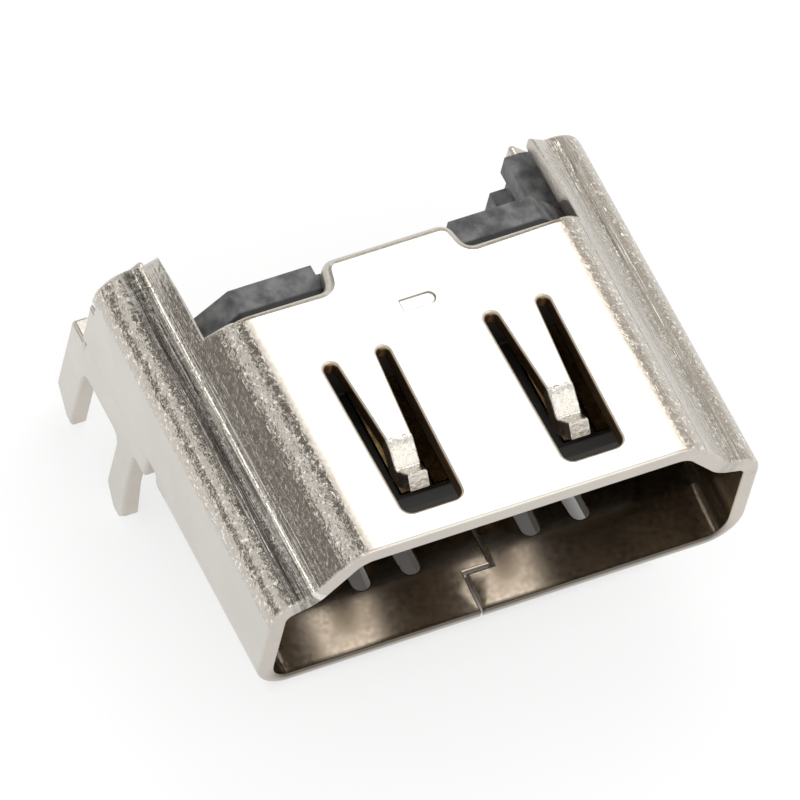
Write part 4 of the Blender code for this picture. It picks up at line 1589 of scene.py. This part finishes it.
@dataclass(frozen=True)
class Studio:
    """Camera, lamps, world and floor."""

    camera_mm: Corner = (-142.943, -175.576, 332.155)
    right: Corner = (0.8906, -0.4282, 0.1534)
    down: Corner = (-0.2841, -0.7871, -0.5475)
    lens: float = 657.65
    sensor: float = 36.0
    clip: tuple[float, float] = (0.01, 20.0)
    lamp_direction: Corner = (0.355, 0.444, 0.823)
    lamp_distance: float = 0.5
    lamp_size: float = 0.26
    lamp_power: float = 0.335
    fill: float = 0.75
    floor_glow: float = 0.74
    # Shares of the part's half size over which the painted shadow under it fades out.
    painted_shadow_span: tuple[float, float] = (0.57, 0.82)
    floor_paper: float = 0.35
    lit_paper: float = 0.8
    floor_half: float = 0.6
    cards: tuple[Card, ...] = (
        Card("horizon card", (-0.88, 0.444, 0.16), 24, 12, (0.2, 0.175, 0.16)),
        Card("left collar", (-0.10, 0.444, 0.875), 20, 15, (0.18, 0.165, 0.15)),
        Card("right collar", (0.74, 0.444, 0.50), 20, 17, (0.64, 0.60, 0.56)),
        Card("rear collar", (0.355, 0.80, 0.48), 26, 11, (0.34, 0.25, 0.19)),
        Card("front window", (0.355, -0.60, 0.724), 20, 16, (1.7, 1.67, 1.6)),
    )

    def camera(self) -> None:
        """Stand the camera at the photograph's viewpoint."""
        data = bpy.data.cameras.new("camera")
        data.lens = self.lens
        data.sensor_width = self.sensor
        data.clip_start, data.clip_end = self.clip
        right = Vector(self.right).normalized()
        up = -Vector(self.down)
        up = (up - right * up.dot(right)).normalized()
        turn = Matrix((right, up, right.cross(up))).transposed().to_4x4()
        place = Matrix.Translation(Vector(self.camera_mm) * MM) @ turn
        bpy.context.scene.camera = add_object("camera", data, place)

    def lamp(self) -> None:
        """Hang one square soft lamp behind the part."""
        data = bpy.data.lights.new("rear soft box", "AREA")
        data.shape = "SQUARE"
        data.size = self.lamp_size
        data.energy = self.lamp_power
        add_object("rear soft box", data, facing(self.lamp_direction, self.lamp_distance))

    def world(self) -> None:
        """Surround the part with white paper that lights it a little less than it shows."""
        world = bpy.data.worlds.new("tent")
        bpy.context.scene.world = world
        board = emptied(world)
        white = board.mix(self.seen(board), (self.fill,) * 3, (1.0,) * 3)
        background = board.add("ShaderNodeBackground", {"Color": white})
        board.add("ShaderNodeOutputWorld", {"Surface": background.outputs[0]})

    @staticmethod
    def seen(board: NodeBoard) -> NodeSocket:
        """Tell rays that show the background, straight or in metal or glass, from the rest.

        Args:
            board: The tree's board.

        Returns:
            A socket that is 1 for such rays.
        """
        rays = board.add("ShaderNodeLightPath")
        glossy, through = rays.outputs["Is Glossy Ray"], rays.outputs["Is Transmission Ray"]
        mirrored = board.maths("ADD", glossy, through)
        return board.maths("ADD", rays.outputs["Is Camera Ray"], mirrored, clamp=True)

    def outside_painted_shadow(self, board: NodeBoard) -> NodeSocket:
        """Fade the floor's glow out under the part, as a painted shadow.

        Args:
            board: The floor's board.

        Returns:
            A socket that is 0 under the part, in the painted shadow, and 1 on the open floor.
        """
        low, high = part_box("shell")
        reach = []
        for axis, name in enumerate("XY"):
            off = board.maths("SUBTRACT", board.along(name), (low[axis] + high[axis]) / 2)
            half = (high[axis] - low[axis]) / 2
            reach.append(board.maths("DIVIDE", board.maths("ABSOLUTE", off), half))
        return board.ramp(board.maths("MAXIMUM", *reach), *self.painted_shadow_span)

    def floor(self) -> None:
        """Lay a white floor under the legs that keeps a soft shadow, with a painted shadow where its
        glow fades out under the part.
        """
        low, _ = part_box("shell")
        material = bpy.data.materials.new("white floor")
        board = emptied(material)
        seen = self.seen(board)
        shade = board.mix(seen, (self.lit_paper,) * 3, (self.floor_paper,) * 3)
        paper = board.add("ShaderNodeBsdfDiffuse", {"Color": shade})
        strength = board.times(seen, self.floor_glow, self.outside_painted_shadow(board))
        glow = board.add("ShaderNodeEmission", {"Color": (1.0,) * 3, "Strength": strength})
        both = board.add("ShaderNodeAddShader", {0: paper.outputs[0], 1: glow.outputs[0]})
        board.add("ShaderNodeOutputMaterial", {"Surface": both.outputs[0]})
        staged_sheet("floor", self.floor_half, self.floor_half, low[2], material)

    def set_up(self) -> None:
        """Set up the whole studio."""
        bpy.context.scene.view_settings.view_transform = "Standard"
        self.camera()
        self.world()
        self.floor()
        self.lamp()
        for card in self.cards:
            card.stand()
        LOG.info("studio ready")


def main() -> None:
    """Dress the receptacle and set up its studio."""
    logging.basicConfig(level=logging.INFO, format="%(name)s: %(message)s")
    effects = SurfaceEffects()
    ShellSheet().dress(NickelPlate().material(effects))
    Mouldings().dress(BlackMoulding().material(effects))
    dress_contacts(GoldPlate().material(effects))
    Studio().set_up()


if __name__ == "__main__":
    main()
